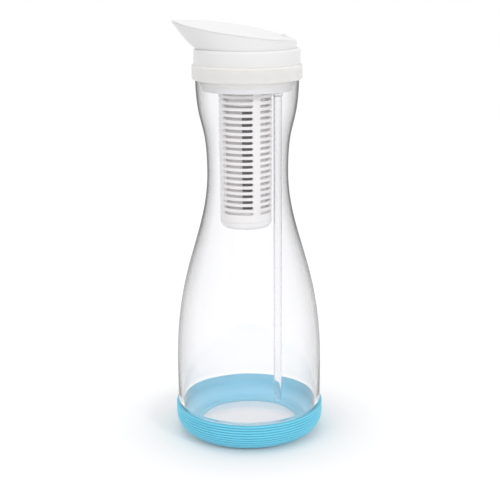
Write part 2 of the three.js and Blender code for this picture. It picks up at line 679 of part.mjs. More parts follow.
// Beak with a domed top as one form, drawn in by inset from its outside
function beakForm(inset, tipInset, topInset) {
  const round = beakRadius - inset;
  const front = footReach - inset;
  const reach = BEAK_REACH - tipInset;
  const angles = Array.from({ length: ROUND_STEPS }, (_, i) => 2 * Math.PI * (i + 0.5) / ROUND_STEPS);
  const rim = angles.map((angle) => {
    const [c, s] = [Math.cos(angle), Math.sin(angle)];
    const side = c < 0 ? Math.sign(s) * Math.abs(s) ** BEAK_POINT : s;
    return [c < 0 ? reach * c : round * c, round * side];
  });
  const foot = angles.map((angle) => {
    const [c, s] = [Math.cos(angle), Math.sin(angle)];
    return new THREE.Vector3(c * (c < 0 ? front : round), s * round, housingSeat);
  });
  const sides = BEAK_ROWS.map((share) => rim.map(([x, y], i) => {
    const spread = share ** BEAK_BULGE;
    return new THREE.Vector3(
      foot[i].x + (x - foot[i].x) * spread,
      foot[i].y + (y - foot[i].y) * spread,
      housingSeat + (seamHeight(x) - housingSeat) * share,
    );
  }));
  const dome = DOME_ROWS.map((share) => rim.map(([x, y]) => {
    const across = CROWN_X + (x - CROWN_X) * share;
    const rise = FLAP_EDGE + (CROWN_HEIGHT - FLAP_EDGE) * (1 - share ** CROWN_POWER);
    return new THREE.Vector3(across, y * share, seamHeight(across) + Math.max(0, rise - topInset));
  }));
  const middle = rim.map(() => new THREE.Vector3(0, 0, housingSeat));
  return skin([middle, ...sides, ...dome]);
}

// Everything above the seam and in front of the hinge, from a given rise
function aboveSeam(rise, rear) {
  const seam = Array.from({ length: SEAM_STEPS + 1 }, (_, i) => {
    const x = rear - (rear + BEAK_REACH + BEAK_WALL) * i / SEAM_STEPS;
    return new THREE.Vector2(x, seamHeight(x) + rise);
  });
  const last = seam[seam.length - 1];
  const top = hingeZ + cutterReach;
  const shape = new THREE.Shape([new THREE.Vector2(rear, top), ...seam, new THREE.Vector2(last.x, top)]);
  return prism(shape, -cutterReach, cutterReach);
}

// Housing and flap in one, hollow above the housing's floor
function lidShell() {
  const ceiling = flangeTop + cutterReach;
  const aboveFloor = block([-cutterReach, -cutterReach, flangeTop], [cutterReach, cutterReach, ceiling]);
  return cut(beakForm(0, 0, 0), beakForm(BEAK_WALL, TIP_WALL, FLAP_WALL).intersect(aboveFloor));
}

// Hinge ears with a slope behind them
function hingeEar(from, to) {
  const low = seamHeight(hingeX + FAIRING_LENGTH) + SEAM_RISE;
  const shape = new THREE.Shape();
  shape.moveTo(hingeX - KNUCKLE_RADIUS, hingeZ);
  shape.absarc(hingeX, hingeZ, KNUCKLE_RADIUS, Math.PI, FAIRING_ANGLE, true);
  shape.lineTo(hingeX + FAIRING_LENGTH, low + FLAP_EDGE);
  shape.lineTo(hingeX + FAIRING_LENGTH, low);
  shape.lineTo(hingeX, hingeZ - KNUCKLE_RADIUS);
  return prism(shape, from, to);
}

// Spout housing: open beak, closed deck behind the hinge, plug for the lid ring and air inlet
function spoutHousing() {
  const beak = cut(lidShell(), aboveSeam(SEAM_RISE, hingeX + KNUCKLE_RADIUS + FIT_GAP));
  const shelfTop = seamHeight(hingeX);
  const shelfStart = [hingeX - SHELF_REACH, -cutterReach, shelfTop - SHELF_THICKNESS];
  const shelf = beakForm(BEAK_WALL / 2, TIP_WALL, FLAP_WALL).intersect(
    block(shelfStart, [cutterReach, cutterReach, shelfTop]),
  );
  const plug = rod(plugRadius, plugBottom, flangeTop - FIT_GAP, ROUND_STEPS);
  const bore = rod(plugInner, plugBottom - FIT_GAP, flangeTop + FIT_GAP, ROUND_STEPS);
  const shell = cut(join(beak, shelf, plug), bore);
  const ventBore = RISER_RADIUS + FIT_GAP;
  const ventHalf = ventBore + VENT_WALL;
  const shoulder = riserTop + VALVE_FLANGE + 2 * FIT_GAP;
  const ventTop = shoulder + VENT_CHAMBER;
  const ventRoof = ventTop + VENT_ROOF;
  const ventBox = join(
    block([tubeX - ventHalf, -ventHalf, plugBottom], [plugRadius - PLUG_WALL / 2, ventHalf, ventRoof]),
    block([tubeX, -ventHalf, housingSeat], [beakRadius - BEAK_WALL / 2, ventHalf, ventRoof]),
  );
  const inlet = new THREE.CylinderGeometry(INLET_RADIUS, INLET_RADIUS, cutterReach, SMALL_STEPS);
  const inletZ = ventTop - INLET_RADIUS;
  return cut(
    join(shell, ventBox, hingeEar(-earEnd, -earStart), hingeEar(earStart, earEnd)),
    sealGroove(plugSealRadius, PLUG_SEAL_SECTION, plugSealHeight),
    rod(ventBore, plugBottom - FIT_GAP, shoulder, SMALL_STEPS, tubeX),
    rod(RISER_BORE_RADIUS, shoulder - FIT_GAP, ventTop, SMALL_STEPS, tubeX),
    solid(inlet.rotateZ(Math.PI / 2).translate(tubeX + cutterReach / 2, 0, inletZ)),
    hingeRod(pinBore, -earEnd - FIT_GAP, earEnd + FIT_GAP),
  );
}

// Flap: the domed top in front of the hinge, with the knuckle at its back
function spoutFlap() {
  const above = aboveSeam(SEAM_RISE + FIT_GAP, hingeX - FIT_GAP / 2);
  const dome = cut(
    lidShell().intersect(above),
    hingeRod(KNUCKLE_RADIUS + FIT_GAP, earStart - FIT_GAP, earEnd + FIT_GAP),
    hingeRod(KNUCKLE_RADIUS + FIT_GAP, -earEnd - FIT_GAP, FIT_GAP - earStart),
  );
  const knuckle = hingeRod(KNUCKLE_RADIUS, -KNUCKLE_LENGTH / 2, KNUCKLE_LENGTH / 2);
  return cut(join(dome, knuckle), hingeRod(pinBore, -KNUCKLE_LENGTH, KNUCKLE_LENGTH));
}

function hingePin() {
  return hingeRod(PIN_RADIUS, -earEnd, earEnd);
}

// Materials
function finish(color, roughness, options = {}) {
  return new THREE.MeshStandardMaterial({ color, roughness, metalness: 0, ...options });
}

const clearGlass = finish(0xf2f6f8, 0.05, { transparent: true, opacity: 0.25 });
const blueSilicone = finish(0x6cc3e3, 0.55);
const frostedSilicone = finish(0xe4e3df, 0.5, { transparent: true, opacity: 0.8 });
const whitePlastic = finish(0xf1f1f0, 0.35);
const milkyPlastic = finish(0xe9e4e3, 0.4);
const clearPlastic = finish(0xf4f6f7, 0.1, { transparent: true, opacity: 0.35 });
const blackCarbon = finish(0x1d1d1f, 0.9);
const greyFleece = finish(0x2b2c2f, 0.95);
const sealRubber = finish(0xd9d7d2, 0.6);
const steel = finish(0xb9bcc0, 0.3, { metalness: 1 });

const pieces = [
  ['bottle', bottle(), clearGlass],
  ['foot_sleeve', footSleeve(), blueSilicone],
  ['mouth_gasket', mouthGasket(), frostedSilicone],
  ['lid_base', lidBase(), whitePlastic],
  ['outlet_screen', outletScreen(), steel],
  ['spigot_seal', oRing(outletSealRadius, SEAL_SECTION, spigotSealHeight, SMALL_STEPS, cageX), sealRubber],
  ['vent_valve', ventValve(), sealRubber],
  ['air_tube', airTube(), clearPlastic],
  ['spout_housing', spoutHousing(), whitePlastic],
  ['housing_seal', oRing(plugSealRadius, PLUG_SEAL_SECTION, plugSealHeight), sealRubber],
  ['spout_flap', spoutFlap(), whitePlastic],
  ['hinge_pin', hingePin(), steel],
  ['filter_cage', filterCage(), milkyPlastic],
  ['cage_cap', cageCap(), milkyPlastic],
  ['element_bottom_cap', elementBottomCap(), whitePlastic],
  ['carbon_block', carbonBlock(), blackCarbon],
  ['element_wrap', elementWrap(), greyFleece],
  ['core_tube', coreTube(), whitePlastic],
  ['element_top_cap', elementTopCap(), whitePlastic],
  ['element_seal', oRing(outletSealRadius, SEAL_SECTION, elementSealHeight, SMALL_STEPS, cageX), sealRubber],
];

const carafe = new THREE.Group();
for (const [name, body, material] of pieces) {
  const { vertProperties, triVerts } = body.getMesh();
  const geometry = new THREE.BufferGeometry();
  geometry.setAttribute('position', new THREE.BufferAttribute(vertProperties, 3));
  geometry.setIndex(new THREE.BufferAttribute(triVerts, 1));
  geometry.computeVertexNormals();
  const mesh = new THREE.Mesh(geometry, material);
  mesh.name = name;
  carafe.add(mesh);
}

export default carafe;
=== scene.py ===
"""Water filter carafe: finished surfaces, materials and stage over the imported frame."""
import math

import bmesh
import bpy
from bpy.props import FloatProperty, FloatVectorProperty, IntProperty, PointerProperty
from mathutils import Euler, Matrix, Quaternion, Vector
from mathutils.geometry import interpolate_bezier


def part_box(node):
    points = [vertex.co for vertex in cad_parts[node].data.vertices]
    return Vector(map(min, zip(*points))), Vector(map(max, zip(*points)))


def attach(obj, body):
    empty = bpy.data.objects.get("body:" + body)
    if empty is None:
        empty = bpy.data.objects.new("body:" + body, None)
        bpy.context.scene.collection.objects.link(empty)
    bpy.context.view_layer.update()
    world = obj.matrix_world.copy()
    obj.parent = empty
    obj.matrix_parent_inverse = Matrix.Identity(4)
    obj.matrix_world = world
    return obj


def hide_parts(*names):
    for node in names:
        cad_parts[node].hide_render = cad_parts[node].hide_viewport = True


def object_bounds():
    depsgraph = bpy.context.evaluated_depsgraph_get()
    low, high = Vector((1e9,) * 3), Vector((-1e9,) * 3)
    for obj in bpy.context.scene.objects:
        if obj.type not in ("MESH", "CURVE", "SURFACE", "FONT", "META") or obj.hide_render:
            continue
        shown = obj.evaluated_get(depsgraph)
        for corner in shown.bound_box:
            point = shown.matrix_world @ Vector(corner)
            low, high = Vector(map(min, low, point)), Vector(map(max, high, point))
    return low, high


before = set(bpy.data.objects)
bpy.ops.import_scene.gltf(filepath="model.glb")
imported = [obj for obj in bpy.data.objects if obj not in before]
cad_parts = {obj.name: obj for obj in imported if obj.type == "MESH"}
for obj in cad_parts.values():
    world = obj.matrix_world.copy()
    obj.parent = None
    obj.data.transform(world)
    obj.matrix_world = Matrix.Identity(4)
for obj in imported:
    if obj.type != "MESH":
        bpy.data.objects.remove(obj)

bl_info = {
    "name": "Water Filter Carafe",
    "version": (1, 0, 0),
    "blender": (4, 5, 0),
    "location": "View3D > Sidebar > Carafe",
    "description": "Models a filter carafe, its lid, filter and stage",
    "category": "Add Mesh",
}

MM = 0.001
CAD_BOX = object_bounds()

# Places taken from the frame
BOTTLE_LOW, BOTTLE_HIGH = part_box("bottle")
SLEEVE_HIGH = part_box("foot_sleeve")[1]
GASKET_LOW, GASKET_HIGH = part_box("mouth_gasket")
LID_LOW, LID_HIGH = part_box("lid_base")
TUBE_LOW, TUBE_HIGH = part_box("air_tube")
CAGE_LOW, CAGE_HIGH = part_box("filter_cage")
CAP_LOW, CAP_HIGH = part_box("cage_cap")
BLOCK_LOW, BLOCK_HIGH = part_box("carbon_block")
WRAP_LOW, WRAP_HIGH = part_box("element_wrap")
LOWER_LOW, LOWER_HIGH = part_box("element_bottom_cap")
UPPER_LOW, UPPER_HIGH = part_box("element_top_cap")
PIN_LOW, PIN_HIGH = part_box("hinge_pin")
TUBE_X = (TUBE_LOW.x + TUBE_HIGH.x) / 2
CAGE_X = (CAP_LOW.x + CAP_HIGH.x) / 2
HINGE = (PIN_LOW + PIN_HIGH) / 2

# Gaps between pieces, the close one where a seam shows, and the heights that follow from them
FIT_GAP = 0.3 * MM
CLOSE_GAP = 0.03 * MM
CLOSED_BY = FIT_GAP - CLOSE_GAP
LIP_COVER = 1.6 * MM
LIP_TOP = GASKET_HIGH.z - LIP_COVER
SEAT = LID_HIGH.z + FIT_GAP

# Fineness of the meshes
ROUND_STEPS = 128
SMALL_STEPS = 48
ARC_STEPS = 8
FILLET_STEPS = 4
CURVE_STEPS = 40
BEAK_STEPS = 128
BEVEL_SEGMENTS = 2
MERGE_DISTANCE = 0.002 * MM
SMOOTH_ANGLE = math.radians(32)


def linear(code):
    """Linear colour of an sRGB hex code."""
    parts = [int(code[i:i + 2], 16) / 255 for i in (1, 3, 5)]
    return [c / 12.92 if c <= 0.04045 else ((c + 0.055) / 1.055) ** 2.4 for c in parts]


class CarafeSizes(bpy.types.PropertyGroup):
    """Sizes of the bottle, lid and filter that a user may change."""

    glass_wall: FloatProperty(
        name="Glass Wall", description="Thickness of the bottle's wall", default=2.2 * MM, unit="LENGTH")
    glass_floor: FloatProperty(
        name="Glass Floor", description="Thickness of the bottle's floor", default=4.5 * MM, unit="LENGTH")
    base_radius: FloatProperty(
        name="Base Radius", description="Bottle inside the foot sleeve", default=48.4 * MM, unit="LENGTH")
    shoulder_height: FloatProperty(
        name="Shoulder Height", description="Where the body starts to draw in", default=47.7 * MM,
        unit="LENGTH")
    neck_radius: FloatProperty(
        name="Neck Radius", description="Bottle at its waist", default=26.75 * MM, unit="LENGTH")
    neck_height: FloatProperty(
        name="Neck Height", description="Height of the waist", default=181 * MM, unit="LENGTH")
    mouth_radius: FloatProperty(
        name="Mouth Radius", description="Bottle at its lip", default=33.8 * MM, unit="LENGTH")
    groove_count: IntProperty(
        name="Sleeve Grooves", description="Rings round the foot sleeve", default=7, min=1)
    groove_pitch: FloatProperty(
        name="Groove Pitch", description="Distance between the rings", default=1.8 * MM, unit="LENGTH")
    cage_radius: FloatProperty(
        name="Cage Radius", description="Filter cage at its top", default=17.625 * MM, unit="LENGTH")
    slot_rows: IntProperty(
        name="Slot Rows", description="Rows of slots in the filter cage", default=21, min=1)
    slot_pitch: FloatProperty(
        name="Slot Pitch", description="Distance between rows of slots", default=3.9 * MM, unit="LENGTH")
    slot_height: FloatProperty(
        name="Slot Height", description="Height of one slot", default=2.0 * MM, unit="LENGTH")
    beak_reach: FloatProperty(
        name="Spout Reach", description="Bottle's axis to the spout's tip", default=48.1 * MM,
        unit="LENGTH")


class CarafeColours(bpy.types.PropertyGroup):
    """Colours of the carafe's materials."""

    glass: FloatVectorProperty(
        name="Glass", description="Tint of the bottle", subtype="COLOR", default=linear("#fdfdfe"))
    sleeve: FloatVectorProperty(
        name="Foot Sleeve", description="Light blue silicone", subtype="COLOR", default=linear("#78d7f2"))
    gasket: FloatVectorProperty(
        name="Mouth Gasket", description="Frosted silicone", subtype="COLOR", default=linear("#e9e7e3"))
    lid: FloatVectorProperty(
        name="Lid", description="White moulded plastic", subtype="COLOR", default=linear("#e8e8e8"))
    cage: FloatVectorProperty(
        name="Filter Cage", description="Milky moulded plastic", subtype="COLOR", default=linear("#fbf7f5"))
    carbon: FloatVectorProperty(
        name="Carbon", description="Pressed activated carbon", subtype="COLOR", default=linear("#424244"))
    fleece: FloatVectorProperty(
        name="Fleece", description="Wrap round the carbon", subtype="COLOR", default=linear("#dedbdb"))


# Modelling steps

def clear_selection():
    """Leaves edit mode with nothing selected."""
    if bpy.context.object and bpy.context.object.mode != "OBJECT":
        bpy.ops.object.mode_set(mode="OBJECT")
    bpy.ops.object.select_all(action="DESELECT")


def pick(piece):
    """Makes one piece the only selected and active one."""
    clear_selection()
    piece.select_set(True)
    bpy.context.view_layer.objects.active = piece


def arc(centre, radius, start, end, steps=ARC_STEPS):
    """Points of an arc, with its angles in degrees from the outward direction."""
    turns = [math.radians(start + (end - start) * i / steps) for i in range(steps + 1)]
    return [(centre[0] + radius * math.cos(t), centre[1] + radius * math.sin(t)) for t in turns]


def rounded(corners, closed=True):
    """Outline through corners of (radius, height, fillet), each rounded by its fillet."""
    points = []
    for i, (radius, height, fillet) in enumerate(corners):
        here = Vector((radius, height))
        if not fillet or (not closed and i in (0, len(corners) - 1)):
            points.append(tuple(here))
            continue
        back = (Vector(corners[i - 1][:2]) - here).normalized()
        ahead = (Vector(corners[(i + 1) % len(corners)][:2]) - here).normalized()
        half = back.angle(ahead) / 2
        centre = here + (back + ahead).normalized() * fillet / math.sin(half)
        first = here + back * fillet / math.tan(half) - centre
        last = here + ahead * fillet / math.tan(half) - centre
        start = math.atan2(first.y, first.x)
        turn = math.remainder(math.atan2(last.y, last.x) - start, math.tau)
        points += arc(centre, fillet, math.degrees(start), math.degrees(start + turn), FILLET_STEPS)
    return points


def bar(inner, outer, low, high, fillet=0.0):
    """Corners of a bar or sleeve between two radii, with its outer edges rounded."""
    return [(inner, low, 0), (outer, low, fillet), (outer, high, fillet), (inner, high, 0)]


def edit_all():
    """Enters edit mode with the whole mesh selected."""
    bpy.ops.object.mode_set(mode="EDIT")
    bpy.ops.mesh.select_all(action="SELECT")


def begun(name):
    """Names the mesh just added and selects all of it in edit mode."""
    piece = bpy.context.object
    piece.name = name
    edit_all()
    return piece


def turned(name, outline, centre=(0, 0, 0), along=(0, 0, 1), steps=ROUND_STEPS, closed=True):
    """Draws a point out along an outline of (radius, height) and spins it about an axis."""
    clear_selection()
    bpy.ops.mesh.primitive_plane_add(size=MM)
    piece = begun(name)
    bpy.ops.mesh.merge(type="CENTER")
    up = Vector(along)
    out = Vector((0, 0, 1)) if up.x else Vector((1, 0, 0))
    path = [Vector(centre) + out * radius + up * height for radius, height in outline]
    if closed:
        path.append(path[0])
    bpy.ops.transform.translate(value=path[0])
    for before, after in zip(path, path[1:]):
        bpy.ops.mesh.extrude_vertices_move(TRANSFORM_OT_translate={"value": after - before})
    bpy.ops.mesh.select_all(action="SELECT")
    bpy.ops.mesh.spin(steps=steps, angle=math.tau, center=centre, axis=along)
    return closed_up(piece)


def lofted(name, rings):
    """Extrudes a circle once for each further ring and shapes it to the ring's points."""
    clear_selection()
    bpy.ops.mesh.primitive_circle_add(vertices=len(rings[0]), fill_type="NOTHING")
    piece = begun(name)
    mesh = bmesh.from_edit_mesh(piece.data)
    column = mesh.verts.layers.int.new("column")
    for i, vert in enumerate(mesh.verts):
        vert[column] = i
    for number, ring in enumerate(rings):
        if number:
            bpy.ops.mesh.extrude_edges_move(TRANSFORM_OT_translate={"value": (0, 0, 0)})
        mesh = bmesh.from_edit_mesh(piece.data)
        column = mesh.verts.layers.int["column"]
        for vert in mesh.verts:
            if vert.select:
                vert.co = ring[vert[column]]
    bmesh.update_edit_mesh(piece.data)
    closed_up(piece)
    piece.data.attributes.remove(piece.data.attributes["column"])
    return piece


def prism(name, outline, low, high):
    """Fills an outline in X and Z and extrudes it along Y."""
    clear_selection()
    bpy.ops.mesh.primitive_circle_add(vertices=len(outline), fill_type="NGON")
    piece = begun(name)
    mesh = bmesh.from_edit_mesh(piece.data)
    for vert, (x, z) in zip(mesh.verts, outline):
        vert.co = (x, low, z)
    bmesh.update_edit_mesh(piece.data)
    bpy.ops.mesh.extrude_region_move(TRANSFORM_OT_translate={"value": (0, high - low, 0)})
    return closed_up(piece)


def closed_up(piece):
    """Merges doubled points and turns every face outwards."""
    edit_all()
    bpy.ops.mesh.remove_doubles(threshold=MERGE_DISTANCE)
    bpy.ops.mesh.normals_make_consistent(inside=False)
    bpy.ops.object.mode_set(mode="OBJECT")
    return piece


def rear_of(piece, x):
    """Cuts a piece across at x, keeps what is behind and closes the cut."""
    pick(piece)
    edit_all()
    bpy.ops.mesh.bisect(plane_co=(x, 0, 0), plane_no=(1, 0, 0), use_fill=True, clear_inner=True)
    return closed_up(piece)


def modified(piece, kind, **settings):
    """Adds a modifier with its settings and applies it."""
    pick(piece)
    bpy.ops.object.modifier_add(type=kind)
    modifier = piece.modifiers[-1]
    for key, value in settings.items():
        setattr(modifier, key, value)
    bpy.ops.object.modifier_apply(modifier=modifier.name)
    return piece


def combined(piece, other, operation):
    """Joins another solid to a piece or cuts it away, and deletes the other."""
    modified(piece, "BOOLEAN", object=other, operation=operation, solver="MANIFOLD")
    bpy.data.objects.remove(other)
    return piece


def softened(piece, width):
    """Rounds every sharp edge a little."""
    return modified(
        piece, "BEVEL", width=width, segments=BEVEL_SEGMENTS, limit_method="ANGLE",
        angle_limit=SMOOTH_ANGLE, use_clamp_overlap=True)


def dressed(piece, slot):
    """Gives a piece the material of its slot."""
    piece.data.materials.clear()
    piece.data.materials.append(finish_of(slot))


def seated(piece, body, node, slot):
    """Smooths and dresses a piece and puts it in its CAD node's place."""
    pick(piece)
    bpy.ops.object.shade_smooth_by_angle(angle=SMOOTH_ANGLE)
    dressed(piece, slot)
    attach(piece, body)
    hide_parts(node)
    return piece


# Materials

WHITE = (1, 1, 1, 1)
BLACK = (0, 0, 0, 1)
# Painted shade of a clear wall, in place of the darker surroundings that it refracts and reflects: by how
# far it turns away, and by the share of the bottle's height
PAINTED_EDGE_SHADES = (
    (0.0, 0.0), (0.17, 0.05), (0.33, 0.15), (0.45, 0.37),
    (0.54, 0.56), (0.63, 0.75), (0.7, 0.92), (0.78, 1.0))
# Painted dark line at a clear wall's edge: the facing range it covers, and how dark it gets
PAINTED_LINE_SPAN = (0.66, 0.95)
PAINTED_LINE_DARKNESS = 0.72
PAINTED_SHADE_BY_HEIGHT = ((0.0, 0.0), (0.08, 0.1), (0.2, 0.6), (0.38, 0.66), (0.58, 1.0), (1.0, 1.0))
# Painted shade in the sleeve's grooves and painted light on its inside faces
PAINTED_GROOVE_SHADE = 0.62
PAINTED_LINING_LIGHT = 0.18
SILICONE_LIGHT = (1.0, 0.985, 0.955)
MILKY_LIGHT = (1.0, 0.99, 0.98)


def add_node(tree, kind, inputs=(), **settings):
    """Adds a node with its settings, values and links."""
    made = tree.nodes.new("ShaderNode" + kind)
    for key, value in settings.items():
        setattr(made, key, value)
    for socket, value in dict(inputs).items():
        if isinstance(value, bpy.types.NodeSocket):
            tree.links.new(value, made.inputs[socket])
        else:
            made.inputs[socket].default_value = value
    return made


def new_material(name, **values):
    """Starts a material with a principled shader, and returns both with the node tree."""
    material = bpy.data.materials.get(name)
    if material:
        bpy.data.materials.remove(material)
    material = bpy.data.materials.new(name)
    material.use_nodes = True
    tree = material.node_tree
    shader = tree.nodes["Principled BSDF"]
    for socket, value in values.items():
        shader.inputs[socket.replace("_", " ")].default_value = value
    return material, tree, shader


def calculated(tree, operation, *values):
    """Result of a sum on numbers."""
    return add_node(tree, "Math", dict(enumerate(values)), operation=operation).outputs[0]


def vector_result(tree, operation, *values, output="Vector"):
    """Result of a sum on vectors."""
    node = add_node(tree, "VectorMath", dict(enumerate(values)), operation=operation)
    return node.outputs[output]


def ranged(tree, value, **ends):
    """Brings a value from one range into another."""
    limits = {key.replace("_", " "): end for key, end in ends.items()}
    return add_node(tree, "MapRange", {"Value": value, **limits}).outputs["Result"]


def object_place(tree):
    """Place on the piece itself."""
    return add_node(tree, "TexCoord").outputs["Object"]


def object_height(tree):
    """Height on the piece itself."""
    return add_node(tree, "SeparateXYZ", {0: object_place(tree)}).outputs["Z"]


def grain(tree, size, detail=2.0):
    """Noise whose grains measure about the given size."""
    return add_node(tree, "TexNoise", {
        "Vector": object_place(tree), "Scale": 1 / size, "Detail": detail}).outputs["Fac"]


def bumped(tree, shader, height, depth, strength):
    """Feeds a height into the shader's normal."""
    bump = add_node(tree, "Bump", {
        "Height": height, "Distance": depth, "Strength": strength})
    tree.links.new(bump.outputs["Normal"], shader.inputs["Normal"])


def between(tree, factor, low, high):
    """Blends two colours by a factor."""
    return blend(tree, factor, (*low, 1), (*high, 1))


def blend(tree, factor, low, high):
    """Blends two colours or colour sockets by a factor."""
    return add_node(tree, "MixRGB", {"Fac": factor, "Color1": low, "Color2": high}).outputs["Color"]


def ramped(tree, factor, tones):
    """Greys along a factor, from pairs of a place and a tone."""
    ramp = add_node(tree, "ValToRGB", {"Fac": factor})
    stops = ramp.color_ramp.elements
    for extra in tones[2:]:
        stops.new(extra[0])
    for stop, (place, tone) in zip(stops, tones):
        stop.position = place
        stop.color = (tone, tone, tone, 1)
    return ramp.outputs["Color"]


def shade(colour, factor):
    """A colour made lighter or darker."""
    return [min(1, part * factor) for part in colour]


def mottled(tree, shader, colour, size, low, high, detail=2.0):
    """Clouds a colour between two shades of it, and returns the clouds."""
    cloud = grain(tree, size, detail)
    tone = between(tree, cloud, shade(colour, low), shade(colour, high))
    tree.links.new(tone, shader.inputs["Base Color"])
    return cloud


def mixed(tree, factor, first, second):
    """Mixes two shaders by a factor."""
    return add_node(tree, "MixShader", {0: factor, 1: first.outputs[0], 2: second.outputs[0]})


def faces_out(tree, centre, shares):
    """1 where a surface faces away from a centre, counted along the axes with a share."""
    away = vector_result(tree, "SUBTRACT", object_place(tree), centre)
    counted = vector_result(tree, "MULTIPLY", away, shares)
    normal = add_node(tree, "NewGeometry").outputs["Normal"]
    along = vector_result(tree, "DOT_PRODUCT", counted, normal, output="Value")
    return calculated(tree, "GREATER_THAN", along, 0.0)


def painted_edge_shade(tree, shader, colour, axis):
    """Paints shade on the outside of a clear wall where it is seen along its length, most at the neck, in
    place of the darker surroundings that the glass refracts and reflects there.
    """
    facing = add_node(tree, "LayerWeight", {"Blend": 0.5}).outputs["Facing"]
    # Painted shade, darker the more the wall turns away from view
    dark = ramped(tree, facing, PAINTED_EDGE_SHADES)
    share = calculated(tree, "DIVIDE", object_height(tree), BOTTLE_HIGH.z)
    by_height = ramped(tree, share, PAINTED_SHADE_BY_HEIGHT)
    strength = calculated(tree, "MULTIPLY", faces_out(tree, axis, (1, 1, 0)), by_height)
    depth = calculated(tree, "MULTIPLY", dark, strength)
    tree.links.new(between(tree, depth, colour, (0, 0, 0)), shader.inputs["Base Color"])
    line = ranged(tree, facing, From_Min=PAINTED_LINE_SPAN[0], From_Max=PAINTED_LINE_SPAN[1], To_Max=PAINTED_LINE_DARKNESS)
    return calculated(tree, "MULTIPLY", strength, line)


def painted_edge_line(tree, shader, line):
    """Draws the painted dark line of a clear wall's edge over a shader."""
    return mixed(tree, line, shader, add_node(tree, "BsdfTransparent", {"Color": BLACK}))


def lets_light_in(tree, shader, colour, share=1.0):
    """Lets a share of the lamps' light and of soft light straight through."""
    path = add_node(tree, "LightPath")
    either = calculated(tree, "MAXIMUM", path.outputs["Is Shadow Ray"], path.outputs["Is Diffuse Ray"])
    through = calculated(tree, "MULTIPLY", either, share)
    clear = add_node(tree, "BsdfTransparent", {"Color": (*colour, 1)})
    mix = mixed(tree, through, shader, clear)
    tree.links.new(mix.outputs[0], tree.nodes["Material Output"].inputs["Surface"])


def borosilicate_glass(colours):
    """Blown clear glass."""
    # Clear and polished, with the faint long ripples that blowing leaves in its reflections
    material, tree, shader = new_material(
        "blown_borosilicate_glass", Base_Color=(*colours.glass, 1), Roughness=0.0, IOR=1.47,
        Transmission_Weight=1.0)
    # Painted shade and a painted dark line on the edges, in place of the surroundings the glass refracts and
    # reflects
    line = painted_edge_shade(tree, shader, colours.glass, (0, 0, 0))
    bumped(tree, shader, grain(tree, 14 * MM, detail=1.0), depth=0.15 * MM, strength=0.06)
    lets_light_in(tree, painted_edge_line(tree, shader, line), colours.glass)
    return material


def blue_silicone(colours):
    """Moulded light blue silicone."""
    # Satin and soft to light, with painted shade in the grooves and painted light on the inside faces, where
    # light shines through the wall
    material, tree, shader = new_material(
        "moulded_blue_silicone", Roughness=0.5, IOR=1.41, Subsurface_Weight=0.5,
        Subsurface_Radius=(0.6, 0.9, 1.0), Subsurface_Scale=2.5 * MM, Sheen_Weight=0.08)
    cloud = grain(tree, 9 * MM, detail=3.0)
    tone = between(tree, cloud, shade(colours.sleeve, 0.95), shade(colours.sleeve, 1.05))
    turn = math.tau / bpy.context.scene.carafe_sizes.groove_pitch
    start = turn * (GROOVE_DROP - SLEEVE_HIGH.z)
    angle = calculated(tree, "MULTIPLY_ADD", object_height(tree), turn, start)
    groove = ranged(tree, calculated(tree, "COSINE", angle), From_Min=0.2, To_Max=0.8)
    # Painted shade, darkest at the bottom of each groove
    painted_groove = blend(tree, groove, tone, (*shade(colours.sleeve, PAINTED_GROOVE_SHADE), 1))
    # Painted light on the inside faces, for light shining through the wall
    painted_lining = blend(tree, PAINTED_LINING_LIGHT, tone, WHITE)
    outside = faces_out(tree, (0, 0, SLEEVE_HIGH.z / 2), (1, 1, 1))
    tree.links.new(blend(tree, outside, painted_lining, painted_groove), shader.inputs["Base Color"])
    bumped(tree, shader, grain(tree, 0.7 * MM), depth=0.04 * MM, strength=0.3)
    return material


def frosted_silicone(colours):
    """Moulded clear silicone with a frosted skin."""
    # Milky, lets light through softly and shows no sharp reflection
    material, tree, shader = new_material(
        "frosted_clear_silicone", Roughness=0.45, IOR=1.41, Subsurface_Weight=1.0,
        Subsurface_Radius=(1.0, 0.97, 0.9), Subsurface_Scale=6 * MM)
    mottled(tree, shader, colours.gasket, 6 * MM, low=0.97, high=1.02)
    bumped(tree, shader, grain(tree, 0.6 * MM), depth=0.03 * MM, strength=0.25)
    lets_light_in(tree, shader, SILICONE_LIGHT, share=0.9)
    return material


def white_polypropylene(colours):
    """Injection-moulded white polypropylene."""
    # Even white with a soft gloss, and the slight waviness that cooling leaves on broad faces
    material, tree, shader = new_material(
        "moulded_white_polypropylene", IOR=1.49, Subsurface_Weight=0.12,
        Subsurface_Radius=(1.0, 1.0, 1.0), Subsurface_Scale=1 * MM)
    cloud = mottled(tree, shader, colours.lid, 22 * MM, low=0.985, high=1.01)
    tree.links.new(ranged(tree, cloud, To_Min=0.27, To_Max=0.36), shader.inputs["Roughness"])
    bumped(tree, shader, grain(tree, 1.2 * MM), depth=0.02 * MM, strength=0.15)
    return material


def milky_polypropylene(colours):
    """Injection-moulded natural polypropylene."""
    # Waxy and milky, with light scattered a few millimetres inside
    material, tree, shader = new_material(
        "moulded_natural_polypropylene", Roughness=0.38, IOR=1.49, Subsurface_Weight=0.5,
        Subsurface_Radius=(1.0, 0.95, 0.95), Subsurface_Scale=2 * MM)
    mottled(tree, shader, colours.cage, 8 * MM, low=0.97, high=1.02)
    bumped(tree, shader, grain(tree, 0.9 * MM), depth=0.03 * MM, strength=0.2)
    lets_light_in(tree, shader, MILKY_LIGHT, share=0.4)
    return material


